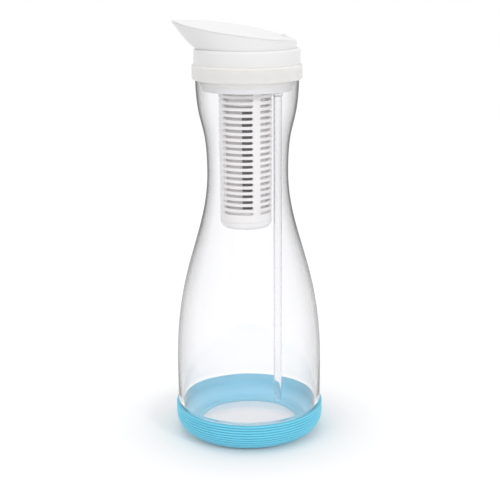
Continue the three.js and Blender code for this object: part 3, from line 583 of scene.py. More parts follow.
def clear_tubing(colours):
    """Extruded clear tubing."""
    # Clear with faint draw lines along its length
    material, tree, shader = new_material(
        "extruded_clear_tubing", Base_Color=(*colours.glass, 1), Roughness=0.06, IOR=1.49,
        Transmission_Weight=1.0)
    stretch = add_node(tree, "Mapping", {
        "Vector": object_place(tree), "Scale": (1 / MM, 1 / MM, 0.03 / MM)})
    lines = add_node(tree, "TexNoise", {"Vector": stretch.outputs["Vector"], "Scale": 1.0})
    bumped(tree, shader, lines.outputs["Fac"], depth=0.03 * MM, strength=0.15)
    # Painted shade and a painted dark line on the edges, in place of the surroundings the tube refracts and
    # reflects
    line = painted_edge_shade(tree, shader, colours.glass, (TUBE_X, 0, 0))
    lets_light_in(tree, painted_edge_line(tree, shader, line), colours.glass)
    return material


def pressed_carbon(colours):
    """Pressed activated carbon."""
    # Black and dull, with grains of about a millimetre that catch a little light: by their bumps, and by a
    # painted highlight that makes each grain lighter at its middle
    material, tree, shader = new_material("pressed_activated_carbon", Roughness=0.85, IOR=1.5)
    cells = add_node(tree, "TexVoronoi", {
        "Vector": object_place(tree), "Scale": 1 / (1.1 * MM)}).outputs["Distance"]
    # Painted highlight: each grain lighter at its middle
    tone = between(tree, cells, shade(colours.carbon, 1.6), colours.carbon)
    tree.links.new(tone, shader.inputs["Base Color"])
    bumped(tree, shader, cells, depth=0.25 * MM, strength=0.7)
    return material


def needled_fleece(colours):
    """Needled polyester fleece."""
    # Grey felt with loose short fibres
    material, tree, shader = new_material(
        "needled_grey_fleece", Roughness=0.95, IOR=1.5, Sheen_Weight=0.25, Sheen_Roughness=0.6)
    fibres = mottled(tree, shader, colours.fleece, 0.9 * MM, low=0.8, high=1.15, detail=5.0)
    bumped(tree, shader, fibres, depth=0.2 * MM, strength=0.6)
    return material


def seal_silicone(colours):
    """Pale moulded silicone of the small seals."""
    # Matt and slightly waxy
    material, tree, shader = new_material(
        "moulded_seal_silicone", Roughness=0.55, IOR=1.41, Subsurface_Weight=0.3,
        Subsurface_Radius=(1.0, 0.95, 0.9), Subsurface_Scale=1 * MM)
    mottled(tree, shader, colours.gasket, 2 * MM, low=0.85, high=0.95)
    return material


def polished_steel(colours):
    """Drawn stainless steel."""
    # Bright, with fine drawing lines that blur its reflections a little
    material, tree, shader = new_material(
        "drawn_stainless_steel", Base_Color=(*linear("#c3c6c9"), 1), Metallic=1.0)
    lines = grain(tree, 0.5 * MM, detail=3.0)
    tree.links.new(ranged(tree, lines, To_Min=0.22, To_Max=0.4), shader.inputs["Roughness"])
    return material


FINISHES = {
    "clear_glass": borosilicate_glass,
    "blue_silicone": blue_silicone,
    "frosted_silicone": frosted_silicone,
    "white_plastic": white_polypropylene,
    "milky_plastic": milky_polypropylene,
    "clear_plastic": clear_tubing,
    "black_carbon": pressed_carbon,
    "grey_fleece": needled_fleece,
    "seal_rubber": seal_silicone,
    "steel": polished_steel,
}


def finish_of(slot):
    """The material of a slot, made once."""
    scene = bpy.context.scene
    names = scene.get("carafe_finishes", {})
    if slot not in names:
        material = FINISHES[slot](scene.carafe_colours)
        scene["carafe_finishes"] = {**dict(names), slot: material.name}
        return material
    return bpy.data.materials[names[slot]]


# Bottle and foot sleeve

HEEL_RADIUS = 11 * MM
INNER_HEEL_RADIUS = 10 * MM
PUNT_RADIUS = 32 * MM
PUNT_DEPTH = 1.2 * MM
BODY_SWEEP = 69.8 * MM
WAIST_SWEEP = 43.6 * MM
FLARE_SWEEP = 37 * MM
MOUTH_SWEEP = 41 * MM
SLEEVE_STEP = 2.2 * MM
SLEEVE_STEP_FILLET = 1.4 * MM


def heel_centre(sizes):
    """Middle of the bottle's rounded heel."""
    return sizes.base_radius - HEEL_RADIUS, BOTTLE_LOW.z + HEEL_RADIUS


def curve(*places):
    """Points of a smooth curve from its start, two handles and its end, after the first point."""
    points = interpolate_bezier(*[Vector((*place, 0)) for place in places], CURVE_STEPS + 1)
    return [(point.x, point.y) for point in points][1:]


def dished(height):
    """Points of a floor that rises towards its middle, from the axis outwards."""
    shares = [i / ARC_STEPS for i in range(ARC_STEPS + 1)]
    return [(PUNT_RADIUS * share, height + PUNT_DEPTH * (1 - share ** 2)) for share in shares]


def wall_inside(points, thickness):
    """Line at an equal distance inside a line of points."""
    inside = []
    for i, here in enumerate(points):
        before, after = points[max(i - 1, 0)], points[min(i + 1, len(points) - 1)]
        along = (Vector(after) - Vector(before)).normalized()
        inside.append((here[0] - thickness * along.y, here[1] + thickness * along.x))
    return inside


class CARAFE_OT_bottle(bpy.types.Operator):
    """Spin the glass bottle from its outline."""

    bl_idname = "carafe.bottle"
    bl_label = "Bottle"

    def execute(self, context):
        sizes = context.scene.carafe_sizes
        wall, body = sizes.glass_wall, BOTTLE_HIGH.x
        bottom, sleeve_top = BOTTLE_LOW.z, SLEEVE_HIGH.z + FIT_GAP
        floor = bottom + sizes.glass_floor
        heel = heel_centre(sizes)
        inner_heel = (sizes.base_radius - wall - INNER_HEEL_RADIUS, floor + INNER_HEEL_RADIUS)
        lip = (sizes.mouth_radius - wall / 2, LIP_TOP - wall / 2)
        shoulder, waist = (body, sizes.shoulder_height), (sizes.neck_radius, sizes.neck_height)
        mouth = (sizes.mouth_radius, lip[1])
        wall_line = [shoulder]
        for start, leave, arrive, end in (
                (shoulder, BODY_SWEEP, WAIST_SWEEP, waist), (waist, FLARE_SWEEP, MOUTH_SWEEP, mouth)):
            wall_line += curve(start, (start[0], start[1] + leave), (end[0], end[1] - arrive), end)
        step = rounded([
            (*heel, 0),
            (sizes.base_radius, sleeve_top, SLEEVE_STEP_FILLET),
            (body, sleeve_top + SLEEVE_STEP, SLEEVE_STEP_FILLET),
            (*shoulder, 0)], closed=False)[1:-1]
        outline = [
            *dished(bottom),
            *arc(heel, HEEL_RADIUS, -90, 0),
            *step,
            *wall_line,
            *arc(lip, wall / 2, 0, 180)[1:-1],
            *reversed(wall_inside(wall_line, wall)),
            *arc(inner_heel, INNER_HEEL_RADIUS, 0, -90),
            *reversed(dished(floor)),
        ]
        piece = turned("bottle_glass", outline, closed=False)
        seated(piece, "carafe", "bottle", "clear_glass")
        return {"FINISHED"}


SLEEVE_WALL = 1.7 * MM
SLEEVE_HOLE_RADIUS = 34 * MM
SLEEVE_EDGE = 0.6 * MM
GROOVE_DROP = 1.9 * MM
GROOVE_DEPTH = 0.7 * MM
GROOVE_SHARPNESS = 3
GROOVE_SAMPLES = 10


class CARAFE_OT_foot_sleeve(bpy.types.Operator):
    """Spin the grooved foot sleeve."""

    bl_idname = "carafe.foot_sleeve"
    bl_label = "Foot Sleeve"

    def execute(self, context):
        sizes = context.scene.carafe_sizes
        top, rim = SLEEVE_HIGH.z, SLEEVE_HIGH.x
        heel = heel_centre(sizes)
        inner, outer = HEEL_RADIUS + CLOSE_GAP, HEEL_RADIUS + FIT_GAP + SLEEVE_WALL
        first = top - GROOVE_DROP
        lowest = first - (sizes.groove_count - 0.5) * sizes.groove_pitch
        samples = sizes.groove_count * GROOVE_SAMPLES
        flank = []
        for i in range(samples + 1):
            z = lowest + sizes.groove_pitch * (i / GROOVE_SAMPLES)
            below = max(0, heel[1] - z)
            wave = 0.5 + 0.5 * math.cos(math.tau * (z - first) / sizes.groove_pitch)
            radius = heel[0] + math.sqrt(outer ** 2 - below ** 2)
            flank.append((radius - GROOVE_DEPTH * wave ** GROOVE_SHARPNESS, z))
        start = math.degrees(math.asin(min(0, (lowest - heel[1]) / outer)))
        outline = [
            (SLEEVE_HOLE_RADIUS, 0),
            *arc(heel, outer, -90, start)[:-1],
            *flank,
            *arc((rim - SLEEVE_EDGE, top - SLEEVE_EDGE), SLEEVE_EDGE, 0, 90, FILLET_STEPS),
            (heel[0] + inner, top),
            *arc(heel, inner, 0, -90),
            (SLEEVE_HOLE_RADIUS, heel[1] - inner),
        ]
        piece = turned("foot_sleeve_silicone", outline)
        seated(piece, "sleeve", "foot_sleeve", "blue_silicone")
        return {"FINISHED"}


# Mouth gasket and lid base

COLLAR_HEIGHT = 9.6 * MM
COLLAR_EDGE = 0.8 * MM
COLLAR_TOP = 1.0 * MM
GASKET_WALL = 0.9 * MM
FIN_COUNT = 2
FIN_HEIGHT = 0.5 * MM
FIN_PITCH = 4 * MM
FIN_THICKNESS = 1.2 * MM
GASKET_FILLET = 0.25 * MM


def gasket_radii(sizes):
    """Radii of the gasket's fins, of its inner sleeve and of its bore."""
    fin = sizes.mouth_radius - sizes.glass_wall - 2 * FIT_GAP
    return fin, fin - FIN_HEIGHT, fin - FIN_HEIGHT - GASKET_WALL


class CARAFE_OT_mouth_gasket(bpy.types.Operator):
    """Spin the gasket that sits over the bottle's lip."""

    bl_idname = "carafe.mouth_gasket"
    bl_label = "Mouth Gasket"

    def execute(self, context):
        sizes = context.scene.carafe_sizes
        top, bottom, outer = GASKET_HIGH.z + CLOSED_BY, GASKET_HIGH.z - COLLAR_HEIGHT, GASKET_HIGH.x
        fin, sleeve, bore = gasket_radii(sizes)
        channel, web = sizes.mouth_radius + CLOSE_GAP, LIP_TOP + FIT_GAP
        corners = [(bore, GASKET_LOW.z, GASKET_FILLET), (sleeve, GASKET_LOW.z, GASKET_FILLET)]
        for i in range(FIN_COUNT):
            low = GASKET_LOW.z + FIN_THICKNESS + i * FIN_PITCH
            corners += [
                (sleeve, low, 0), (fin, low + FIN_THICKNESS / 2, 0), (sleeve, low + FIN_THICKNESS, 0)]
        corners += [
            (sleeve, web, GASKET_FILLET),
            (channel, web, GASKET_FILLET),
            (channel, bottom, GASKET_FILLET),
            (outer, bottom, COLLAR_EDGE),
            (outer, top, COLLAR_TOP),
            (bore, top, GASKET_FILLET),
        ]
        piece = turned("mouth_gasket_silicone", rounded(corners))
        seated(piece, "lid", "mouth_gasket", "frosted_silicone")
        return {"FINISHED"}


RING_HEIGHT = 9.6 * MM
RING_WALL = 3.6 * MM
RING_FILLET = 1.3 * MM
RING_SHOULDER = 1.7 * MM
RING_EDGE = 0.08 * MM
RING_LEDGE = 2.5 * MM
LID_WALL = 2 * MM
LID_FILLET = 0.4 * MM
SKIRT_DEPTH = 16.9 * MM
WEB_RECESS = 5 * MM
WEB_THICKNESS = 2.5 * MM
SPIGOT_RADIUS = 7 * MM
SPIGOT_BORE = 4.4 * MM
SCREEN_SEAT_RADIUS = 7.9 * MM
SCREEN_SEAT_DEPTH = 1.1 * MM
NIPPLE_RADIUS = 1.6 * MM
NIPPLE_LENGTH = 8 * MM
RISER_RADIUS = 4.2 * MM
RISER_BORE = 2.5 * MM
RISER_LENGTH = 15.5 * MM
AIR_BORE = 0.8 * MM
SEAL_SECTION = 0.5 * MM


def seal_groove(name, ring_node, centre_x, steps):
    """Cutter for the groove that an O-ring sits in."""
    low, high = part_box(ring_node)
    outer, half = high.y, (high.z - low.z) / 2 + FIT_GAP / 2
    middle = (high.z + low.z) / 2
    inner = outer - 2 * SEAL_SECTION - FIT_GAP
    outline = [(inner, middle - half), (outer + FIT_GAP, middle - half),
               (outer + FIT_GAP, middle + half), (inner, middle + half)]
    return turned(name, outline, (centre_x, 0, 0), steps=steps)


def rod(name, radius, low, high, centre_x, fillet=0.0):
    """Round solid rod on an upright axis."""
    outline = rounded(bar(0, radius, low, high, fillet), closed=False)
    return turned(name, outline, (centre_x, 0, 0), steps=SMALL_STEPS, closed=False)


def o_ring(name, body, node, centre_x, steps):
    """Round-section ring that fills its CAD node's box."""
    low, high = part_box(node)
    section = (high.z - low.z) / 2
    radius = high.y - section
    outline = arc((radius, (high.z + low.z) / 2), section, 0, 360, 2 * ARC_STEPS)[:-1]
    seated(turned(name, outline, (centre_x, 0, 0), steps=steps), body, node, "seal_rubber")


class CARAFE_OT_lid_base(bpy.types.Operator):
    """Model the lid base with its filter spigot and air riser, and the spigot's O-ring."""

    bl_idname = "carafe.lid_base"
    bl_label = "Lid Base"

    def execute(self, context):
        top, ring = LID_HIGH.z + CLOSED_BY, LID_HIGH.x
        ring_bottom, bore = LID_HIGH.z - RING_HEIGHT, ring - RING_WALL
        skirt = gasket_radii(context.scene.carafe_sizes)[2] - FIT_GAP
        inner, skirt_bottom = skirt - LID_WALL, ring_bottom - SKIRT_DEPTH
        web_low = skirt_bottom + WEB_RECESS
        web_high, ledge = web_low + WEB_THICKNESS, ring_bottom + RING_LEDGE
        outline = rounded([
            (0, web_low, 0),
            (inner, web_low, LID_FILLET),
            (inner, skirt_bottom, LID_FILLET),
            (skirt, skirt_bottom, LID_FILLET),
            (skirt, ring_bottom, LID_FILLET),
            (ring, ring_bottom, RING_EDGE),
            (ring, top, RING_SHOULDER),
            (bore, top, LID_FILLET),
            (bore, ledge, LID_FILLET),
            (inner, ledge, LID_FILLET),
            (inner, web_high, LID_FILLET),
            (0, web_high, 0)], closed=False)
        piece = turned("lid_base_moulding", outline, closed=False)
        middle = (web_low + web_high) / 2
        riser_top = web_high + RISER_LENGTH
        for solid in (
                rod("spigot", SPIGOT_RADIUS, LID_LOW.z, middle, CAGE_X, LID_FILLET),
                rod("nipple", NIPPLE_RADIUS, web_low - NIPPLE_LENGTH, middle, TUBE_X, LID_FILLET),
                rod("riser", RISER_RADIUS, middle, riser_top, TUBE_X, LID_FILLET)):
            combined(piece, solid, "UNION")
        for cutter in (
                rod("spigot_bore", SPIGOT_BORE, LID_LOW.z - MM, web_high + MM, CAGE_X),
                rod("screen_seat", SCREEN_SEAT_RADIUS, web_high - SCREEN_SEAT_DEPTH, web_high + MM, CAGE_X),
                rod("riser_bore", RISER_BORE, web_high, riser_top + MM, TUBE_X),
                rod("air_bore", AIR_BORE, web_low - NIPPLE_LENGTH - MM, web_high + MM, TUBE_X),
                seal_groove("spigot_groove", "spigot_seal", CAGE_X, SMALL_STEPS)):
            combined(piece, cutter, "DIFFERENCE")
        seated(piece, "lid", "lid_base", "white_plastic")
        o_ring("spigot_o_ring", "lid", "spigot_seal", CAGE_X, SMALL_STEPS)
        dressed(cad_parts["outlet_screen"], "steel")
        dressed(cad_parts["vent_valve"], "seal_rubber")
        return {"FINISHED"}


# Spout housing and flap

BEAK_STEP = 2.6 * MM
BEAK_RADIUS = LID_HIGH.x - BEAK_STEP
FOOT_REACH = LID_HIGH.x - RING_FILLET
BEAK_HEIGHT = 8.1 * MM
SEAM_SLOPE = 0.136
TIP_LIFT = 1.95 * MM
TIP_POWER = 4
BEAK_POINT = 1.5
BEAK_BULGE = 0.8
BEAK_WALL = 2 * MM
TIP_WALL = 3.6 * MM
CROWN_HEIGHT = 5.8 * MM
CROWN_X = -14 * MM
CROWN_POWER = 2.2
FLAP_EDGE = 1.2 * MM
FLAP_WALL = 1.6 * MM
SEAM_RISE = 0.3 * MM
EDGE_ROUND = 0.25 * MM
SEAM_ROUND = 0.1 * MM
PLUG_RADIUS = LID_HIGH.x - RING_WALL - FIT_GAP
PLUG_LENGTH = 7 * MM
PLUG_WALL = 2 * MM
PLUG_FLANGE = 2.2 * MM
KNUCKLE_RADIUS = 1.4 * MM
KNUCKLE_LENGTH = 7 * MM
PIN_BORE = 0.75 * MM
PIN_RADIUS = 0.6 * MM
FAIRING_LENGTH = 6 * MM
FAIRING_ANGLE = 60
SHELF_THICKNESS = 1.6 * MM
SHELF_REACH = 3 * MM
VENT_HALF = 5.5 * MM
VENT_BORE = 4.5 * MM
VENT_SHOULDER = 2.0 * MM
VENT_HEIGHT = 4.1 * MM
INLET_RADIUS = 1.5 * MM
INLET_DROP = 3.1 * MM
SIDE_ROWS = 8
DECK_ROWS = 4
DECK_SPARE = 3 * MM
DOME_ROWS = 12


def seam_height(x, reach):
    """Height of the line between the housing and the flap."""
    return SEAT + BEAK_HEIGHT - SEAM_SLOPE * x + TIP_LIFT * max(0, -x / reach) ** TIP_POWER


class BeakForm:
    """Beak with a domed top, drawn in by an inset from its outside."""

    def __init__(self, reach, inset=0.0, tip_inset=0.0, top_inset=0.0):
        self.full_reach, self.top_inset = reach, top_inset
        radius, front, tip = BEAK_RADIUS - inset, FOOT_REACH - inset, reach - tip_inset
        self.foot, self.rim = [], []
        for i in range(BEAK_STEPS):
            angle = math.tau * (i + 0.5) / BEAK_STEPS
            c, s = math.cos(angle), math.sin(angle)
            self.foot.append((c * (front if c < 0 else radius), s * radius))
            side = math.copysign(abs(s) ** BEAK_POINT, s) if c < 0 else s
            self.rim.append((c * (tip if c < 0 else radius), side * radius))

    def seam(self, x):
        """Height of the line between housing and flap."""
        return seam_height(x, self.full_reach)

    def side(self, i, share):
        """Point on the side wall, from the foot at 0 to the seam at 1."""
        (fx, fy), (x, y) = self.foot[i], self.rim[i]
        spread = share ** BEAK_BULGE
        return Vector((fx + (x - fx) * spread, fy + (y - fy) * spread,
                       SEAT + (self.seam(x) - SEAT) * share))

    def dome(self, i, share):
        """Point on the domed top, from the middle at 0 to the edge at 1."""
        x, y = self.rim[i]
        across = CROWN_X + (x - CROWN_X) * share
        rise = FLAP_EDGE + (CROWN_HEIGHT - FLAP_EDGE) * (1 - share ** CROWN_POWER)
        return Vector((across, y * share, self.seam(across) + max(0, rise - self.top_inset)))

    def edge(self, i, rise):
        """Point above the seam on the upright edge."""
        x, y = self.rim[i]
        return Vector((x, y, self.seam(x) + rise))

    def deck(self, i, front, share):
        """Point on the part of the dome behind a front line, or on the rim ahead of it."""
        x = self.rim[i][0]
        if x <= front:
            return self.edge(i, SEAM_RISE)
        last = (front - CROWN_X) / (x - CROWN_X)
        return self.dome(i, 1 + (last - 1) * share)


def ring_of(point, *settings):
    """Ring with one point for each of the beak's columns."""
    return [point(i, *settings) for i in range(BEAK_STEPS)]


def on_circle(i, radius, z):
    """Point of a circle in one of the beak's columns."""
    turn = math.tau * (i + 0.5) / BEAK_STEPS
    return Vector((radius * math.cos(turn), radius * math.sin(turn), z))


def housing_rings(outer, inner, deck_front):
    """Rings of the housing: up its outside, over its rim, down its inside and round its plug."""
    bore, plug_bottom, floor = PLUG_RADIUS - PLUG_WALL, SEAT - PLUG_LENGTH, SEAT + PLUG_FLANGE
    side_shares = [row / SIDE_ROWS for row in range(SIDE_ROWS + 1)]
    deck_shares = [row / DECK_ROWS for row in range(DECK_ROWS + 1)]
    floor_shares = [(floor - SEAT) / (inner.seam(x) - SEAT) for x, y in inner.rim]
    rings = [ring_of(outer.side, share) for share in side_shares]
    rings.append(ring_of(outer.edge, SEAM_RISE))
    rings += [ring_of(outer.deck, deck_front, share) for share in deck_shares]
    rings += [ring_of(inner.deck, deck_front, 1 - share) for share in deck_shares]
    for share in side_shares:
        rings.append([inner.side(i, 1 + (last - 1) * share) for i, last in enumerate(floor_shares)])
    for radius, z in (
            (bore, floor), (bore, plug_bottom), (PLUG_RADIUS, plug_bottom), (PLUG_RADIUS, SEAT)):
        rings.append(ring_of(on_circle, radius, z))
    rings.append(rings[0])
    return rings


def hinge_ear(name, low, high, reach):
    """Hinge ear with a slope behind it, drilled for the pin."""
    back = HINGE.x + FAIRING_LENGTH
    base = seam_height(back, reach) + SEAM_RISE
    outline = [
        *arc((HINGE.x, HINGE.z), KNUCKLE_RADIUS, 180, FAIRING_ANGLE),
        (back, base + FLAP_EDGE),
        (back, base),
        (HINGE.x, HINGE.z - KNUCKLE_RADIUS),
    ]
    ear = softened(prism(name, outline, low, high), EDGE_ROUND)
    return combined(ear, hinge_rod("pin_bore", PIN_BORE, 2 * PIN_LOW.y, 2 * PIN_HIGH.y), "DIFFERENCE")


def hinge_rod(name, radius, low, high, bore=0.0, fillet=0.0):
    """Rod or sleeve along the hinge's axis."""
    outline = rounded(bar(bore, radius, low, high, fillet))
    return turned(
        name, outline, (HINGE.x, 0, HINGE.z), (0, 1, 0), steps=SMALL_STEPS, closed=bore > 0)


def box_solid(name, low, high):
    """Upright block between two corners."""
    outline = [(low[0], low[2]), (high[0], low[2]), (high[0], high[2]), (low[0], high[2])]
    return prism(name, outline, low[1], high[1])


class CARAFE_OT_spout_housing(bpy.types.Operator):
    """Model the beaked spout housing, its O-ring and the hinge pin."""

    bl_idname = "carafe.spout_housing"
    bl_label = "Spout Housing"

    def execute(self, context):
        reach = context.scene.carafe_sizes.beak_reach
        outer, inner = BeakForm(reach), BeakForm(reach, BEAK_WALL, TIP_WALL, FLAP_WALL)
        deck_front = HINGE.x + KNUCKLE_RADIUS + CLOSE_GAP
        deck_spare = deck_front - DECK_SPARE
        piece = softened(
            lofted("spout_housing_moulding", housing_rings(outer, inner, deck_spare)), SEAM_ROUND)
        # Room for the flap's rear edge, round below and upright behind
        room_front, room_low = deck_spare - DECK_SPARE, SEAM_RISE + CLOSE_GAP / 2
        room = [(x, outer.seam(x) + room_low) for x in (room_front, HINGE.x)]
        room += arc((HINGE.x, HINGE.z), KNUCKLE_RADIUS + CLOSE_GAP, -90, 0)
        room += [(x, HINGE.z + BEAK_HEIGHT) for x in (deck_front, room_front)]
        combined(piece, prism("flap_room", room, -LID_HIGH.x, LID_HIGH.x), "DIFFERENCE")
        # Clear space round the ears and the pin's ends
        ear_room = PIN_HIGH.y + KNUCKLE_RADIUS
        combined(piece, box_solid(
            "ear_room", (room_front, -ear_room, HINGE.z - KNUCKLE_RADIUS),
            (deck_front + CLOSE_GAP / 2, ear_room, HINGE.z + BEAK_HEIGHT)), "DIFFERENCE")
        # Shelf inside the rear wall, under the hinge
        middle = BeakForm(reach, BEAK_WALL / 2, TIP_WALL, FLAP_WALL)
        shelf_top = seam_height(HINGE.x, reach)
        shelf_low = shelf_top - SHELF_THICKNESS
        shelf_rings = [[Vector((*place, z)) for place in middle.rim] for z in (shelf_low, shelf_top)]
        centre = [[Vector((0, 0, z))] * BEAK_STEPS for z in (shelf_low, shelf_top)]
        shelf = lofted("shelf", [centre[0], *shelf_rings, centre[1]])
        combined(piece, rear_of(shelf, HINGE.x - SHELF_REACH), "UNION")
        # Block over the air riser, with its bore, chamber and inlet
        riser_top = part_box("vent_valve")[1].z
        vent_roof = riser_top + VENT_SHOULDER + VENT_HEIGHT
        vent = box_solid(
            "vent", (TUBE_X - VENT_HALF, -VENT_HALF, SEAT - PLUG_LENGTH),
            (PLUG_RADIUS - PLUG_WALL / 2, VENT_HALF, vent_roof))
        combined(piece, softened(vent, 2 * EDGE_ROUND), "UNION")
        for cutter in (
                rod("vent_bore", VENT_BORE, SEAT - 2 * PLUG_LENGTH, riser_top + FIT_GAP, TUBE_X),
                rod("vent_chamber", RISER_BORE, riser_top, vent_roof - SHELF_THICKNESS, TUBE_X),
                turned("inlet", [(0, 0), (INLET_RADIUS, 0), (INLET_RADIUS, BEAK_RADIUS), (0, BEAK_RADIUS)],
                       (TUBE_X, 0, vent_roof - INLET_DROP), (1, 0, 0), SMALL_STEPS, closed=False)):
            combined(piece, cutter, "DIFFERENCE")
        gap = KNUCKLE_LENGTH / 2 + CLOSE_GAP
        for side, (low, high) in enumerate(((PIN_LOW.y, -gap), (gap, PIN_HIGH.y))):
            combined(piece, hinge_ear(f"ear_{side}", low, high, reach), "UNION")
        seated(piece, "spout", "spout_housing", "white_plastic")
        o_ring("housing_o_ring", "spout", "housing_seal", 0, ROUND_STEPS)
        pin = hinge_rod("hinge_pin_steel", PIN_RADIUS, PIN_LOW.y, PIN_HIGH.y, fillet=EDGE_ROUND)
        seated(pin, "spout", "hinge_pin", "steel")
        return {"FINISHED"}


class CARAFE_OT_spout_flap(bpy.types.Operator):
    """Model the domed flap with its hinge knuckle."""

    bl_idname = "carafe.spout_flap"
    bl_label = "Spout Flap"

    def execute(self, context):
        reach = context.scene.carafe_sizes.beak_reach
        outer, inner = BeakForm(reach), BeakForm(reach, BEAK_WALL, TIP_WALL, FLAP_WALL)
        low = SEAM_RISE + CLOSE_GAP
        shares = [1 - row / DOME_ROWS for row in range(DOME_ROWS + 1)]
        rings = [ring_of(outer.edge, low)]
        rings += [ring_of(outer.dome, share) for share in shares]
        under = [ring_of(inner.dome, share) for share in reversed(shares)]
        rim = [max(pair, key=lambda point: point.z) for pair in zip(ring_of(inner.edge, low), under[-1])]
        rings += [*under[:-1], rim, rings[0]]
        piece = softened(lofted("spout_flap_moulding", rings), EDGE_ROUND)
        # Rear edge, rounded about the hinge's axis
        barrel = arc((HINGE.x, HINGE.z), KNUCKLE_RADIUS - CLOSE_GAP, -90, 90, 2 * ARC_STEPS)
        rear, top, bottom = LID_HIGH.x, HINGE.z + BEAK_HEIGHT, HINGE.z - BEAK_HEIGHT
        behind = [(HINGE.x, top), (rear, top), (rear, bottom), (HINGE.x, bottom)]
        combined(piece, prism("behind", [*barrel, *behind], -LID_HIGH.x, LID_HIGH.x), "DIFFERENCE")
        # Room for the housing's ears, and the bored knuckle between them
        clear = KNUCKLE_RADIUS + FIT_GAP
        half, ear_end = KNUCKLE_LENGTH / 2, PIN_HIGH.y + CLOSE_GAP
        for side, (start, end) in enumerate(((half, ear_end), (-ear_end, -half))):
            combined(piece, hinge_rod(f"ear_room_{side}", clear, start, end), "DIFFERENCE")
        combined(piece, hinge_rod("pin_bore", PIN_BORE, -2 * half, 2 * half), "DIFFERENCE")
        combined(piece, hinge_rod("knuckle", KNUCKLE_RADIUS, -half, half, PIN_BORE, EDGE_ROUND), "UNION")
        seated(piece, "flap", "spout_flap", "white_plastic")
        return {"FINISHED"}


# Filter cage, element and air tube

CAGE_DRAFT = 0.6 * MM
CAGE_LENGTH = 95.2 * MM
CAGE_WALL = 1.6 * MM
CAGE_TOP_PLATE = 2.3 * MM
CAGE_NECK_WALL = 2 * MM
STOP_WALL = 1.6 * MM
OUTLET_BORE = 7.3 * MM
SLOT_DROP = 6 * MM
SLOT_COLUMNS = 4
COLUMN_CELLS = 12
CAGE_CELLS = SLOT_COLUMNS * COLUMN_CELLS
RIB_CELLS = 2
RIB_TURN = -65.5
CAP_HEIGHT = 4.7 * MM
CAP_CORNER = 3.6 * MM
CAP_FLOOR = 2 * MM
CAP_PLUG_WALL = 1.5 * MM
SMALL_FILLET = 0.3 * MM
END_CAP = 2.5 * MM
SLOT_SUBDIVISION = 2


def filter_turned(name, corners, closed=True):
    """Spins rounded corners about the filter's axis."""
    return turned(name, rounded(corners, closed), (CAGE_X, 0, 0), steps=2 * SMALL_STEPS, closed=closed)


class CARAFE_OT_filter_cage(bpy.types.Operator):
    """Model the slotted filter cage and its bottom cap."""

    bl_idname = "carafe.filter_cage"
    bl_label = "Filter Cage"

    def radius_at(self, sizes, z):
        """Radius of the cage, which narrows downwards."""
        return sizes.cage_radius - CAGE_DRAFT * (CAGE_HIGH.z - z) / CAGE_LENGTH

    def execute(self, context):
        sizes = context.scene.carafe_sizes
        top, bottom = CAGE_HIGH.z, CAGE_LOW.z
        first = top - SLOT_DROP
        slots = [first - row * sizes.slot_pitch for row in range(sizes.slot_rows)]
        half = sizes.slot_height / 2
        levels = [top, *[z + side * half for z in slots for side in (1, -1)], bottom]
        start = math.radians(RIB_TURN)
        turns = [start + math.tau * (i - RIB_CELLS / 2) / CAGE_CELLS for i in range(CAGE_CELLS)]
        rings = []
        for z in levels:
            radius = self.radius_at(sizes, z)
            rings.append([
                Vector((CAGE_X + radius * math.cos(t), radius * math.sin(t), z)) for t in turns])
        piece = lofted("filter_cage_moulding", rings)
        self.open_slots(piece, slots, half, turns[0])
        modified(piece, "SUBSURF", levels=SLOT_SUBDIVISION, render_levels=SLOT_SUBDIVISION)
        modified(piece, "SOLIDIFY", thickness=CAGE_WALL, offset=-1)
        plate_low, neck_low = top - CAGE_TOP_PLATE, UPPER_LOW.z + END_CAP + FIT_GAP
        stop, neck = WRAP_HIGH.x - CAGE_X, OUTLET_BORE + CAGE_NECK_WALL
        plate = filter_turned("plate", [
            (OUTLET_BORE, top, SMALL_FILLET),
            (sizes.cage_radius - CAGE_WALL / 2, top, 0),
            (sizes.cage_radius - CAGE_WALL / 2, plate_low, 0),
            (stop, plate_low, SMALL_FILLET),
            (stop, neck_low, SMALL_FILLET),
            (stop - STOP_WALL, neck_low, SMALL_FILLET),
            (stop - STOP_WALL, plate_low, SMALL_FILLET),
            (neck, plate_low, SMALL_FILLET),
            (neck, neck_low, SMALL_FILLET),
            (OUTLET_BORE, neck_low, SMALL_FILLET)])
        pick(piece)
        plate.select_set(True)
        bpy.ops.object.join()
        seated(piece, "filter", "filter_cage", "milky_plastic")
        self.cap()
        return {"FINISHED"}

    def open_slots(self, piece, slots, half, start):
        """Deletes the wall's faces where the slots are."""
        pick(piece)
        bpy.ops.object.mode_set(mode="EDIT")
        bpy.ops.mesh.select_all(action="DESELECT")
        mesh = bmesh.from_edit_mesh(piece.data)
        cell = math.tau / CAGE_CELLS
        for face in mesh.faces:
            place = face.calc_center_median()
            turn = math.atan2(place.y, place.x - CAGE_X) - start
            column = int((turn % math.tau) / cell) % COLUMN_CELLS
            in_row = any(abs(place.z - z) < half for z in slots)
            face.select_set(in_row and column >= RIB_CELLS)
        bmesh.update_edit_mesh(piece.data)
        bpy.ops.mesh.delete(type="FACE")
        bpy.ops.object.mode_set(mode="OBJECT")

    def cap(self):
        """Spins the cap under the cage."""
        low, high = CAP_LOW.z, CAP_LOW.z + CAP_HEIGHT + CLOSED_BY
        radius, plug = CAP_HIGH.x - CAGE_X, LOWER_HIGH.x - CAGE_X
        inner = plug - CAP_PLUG_WALL
        piece = filter_turned("cage_cap_moulding", [
            (0, low, 0),
            (radius, low, CAP_CORNER),
            (radius, high, SMALL_FILLET),
            (plug, high, 0),
            (plug, CAP_HIGH.z, SMALL_FILLET),
            (inner, CAP_HIGH.z, SMALL_FILLET),
            (inner, low + CAP_FLOOR, SMALL_FILLET),
            (0, low + CAP_FLOOR, 0)], closed=False)
        seated(piece, "element", "cage_cap", "milky_plastic")


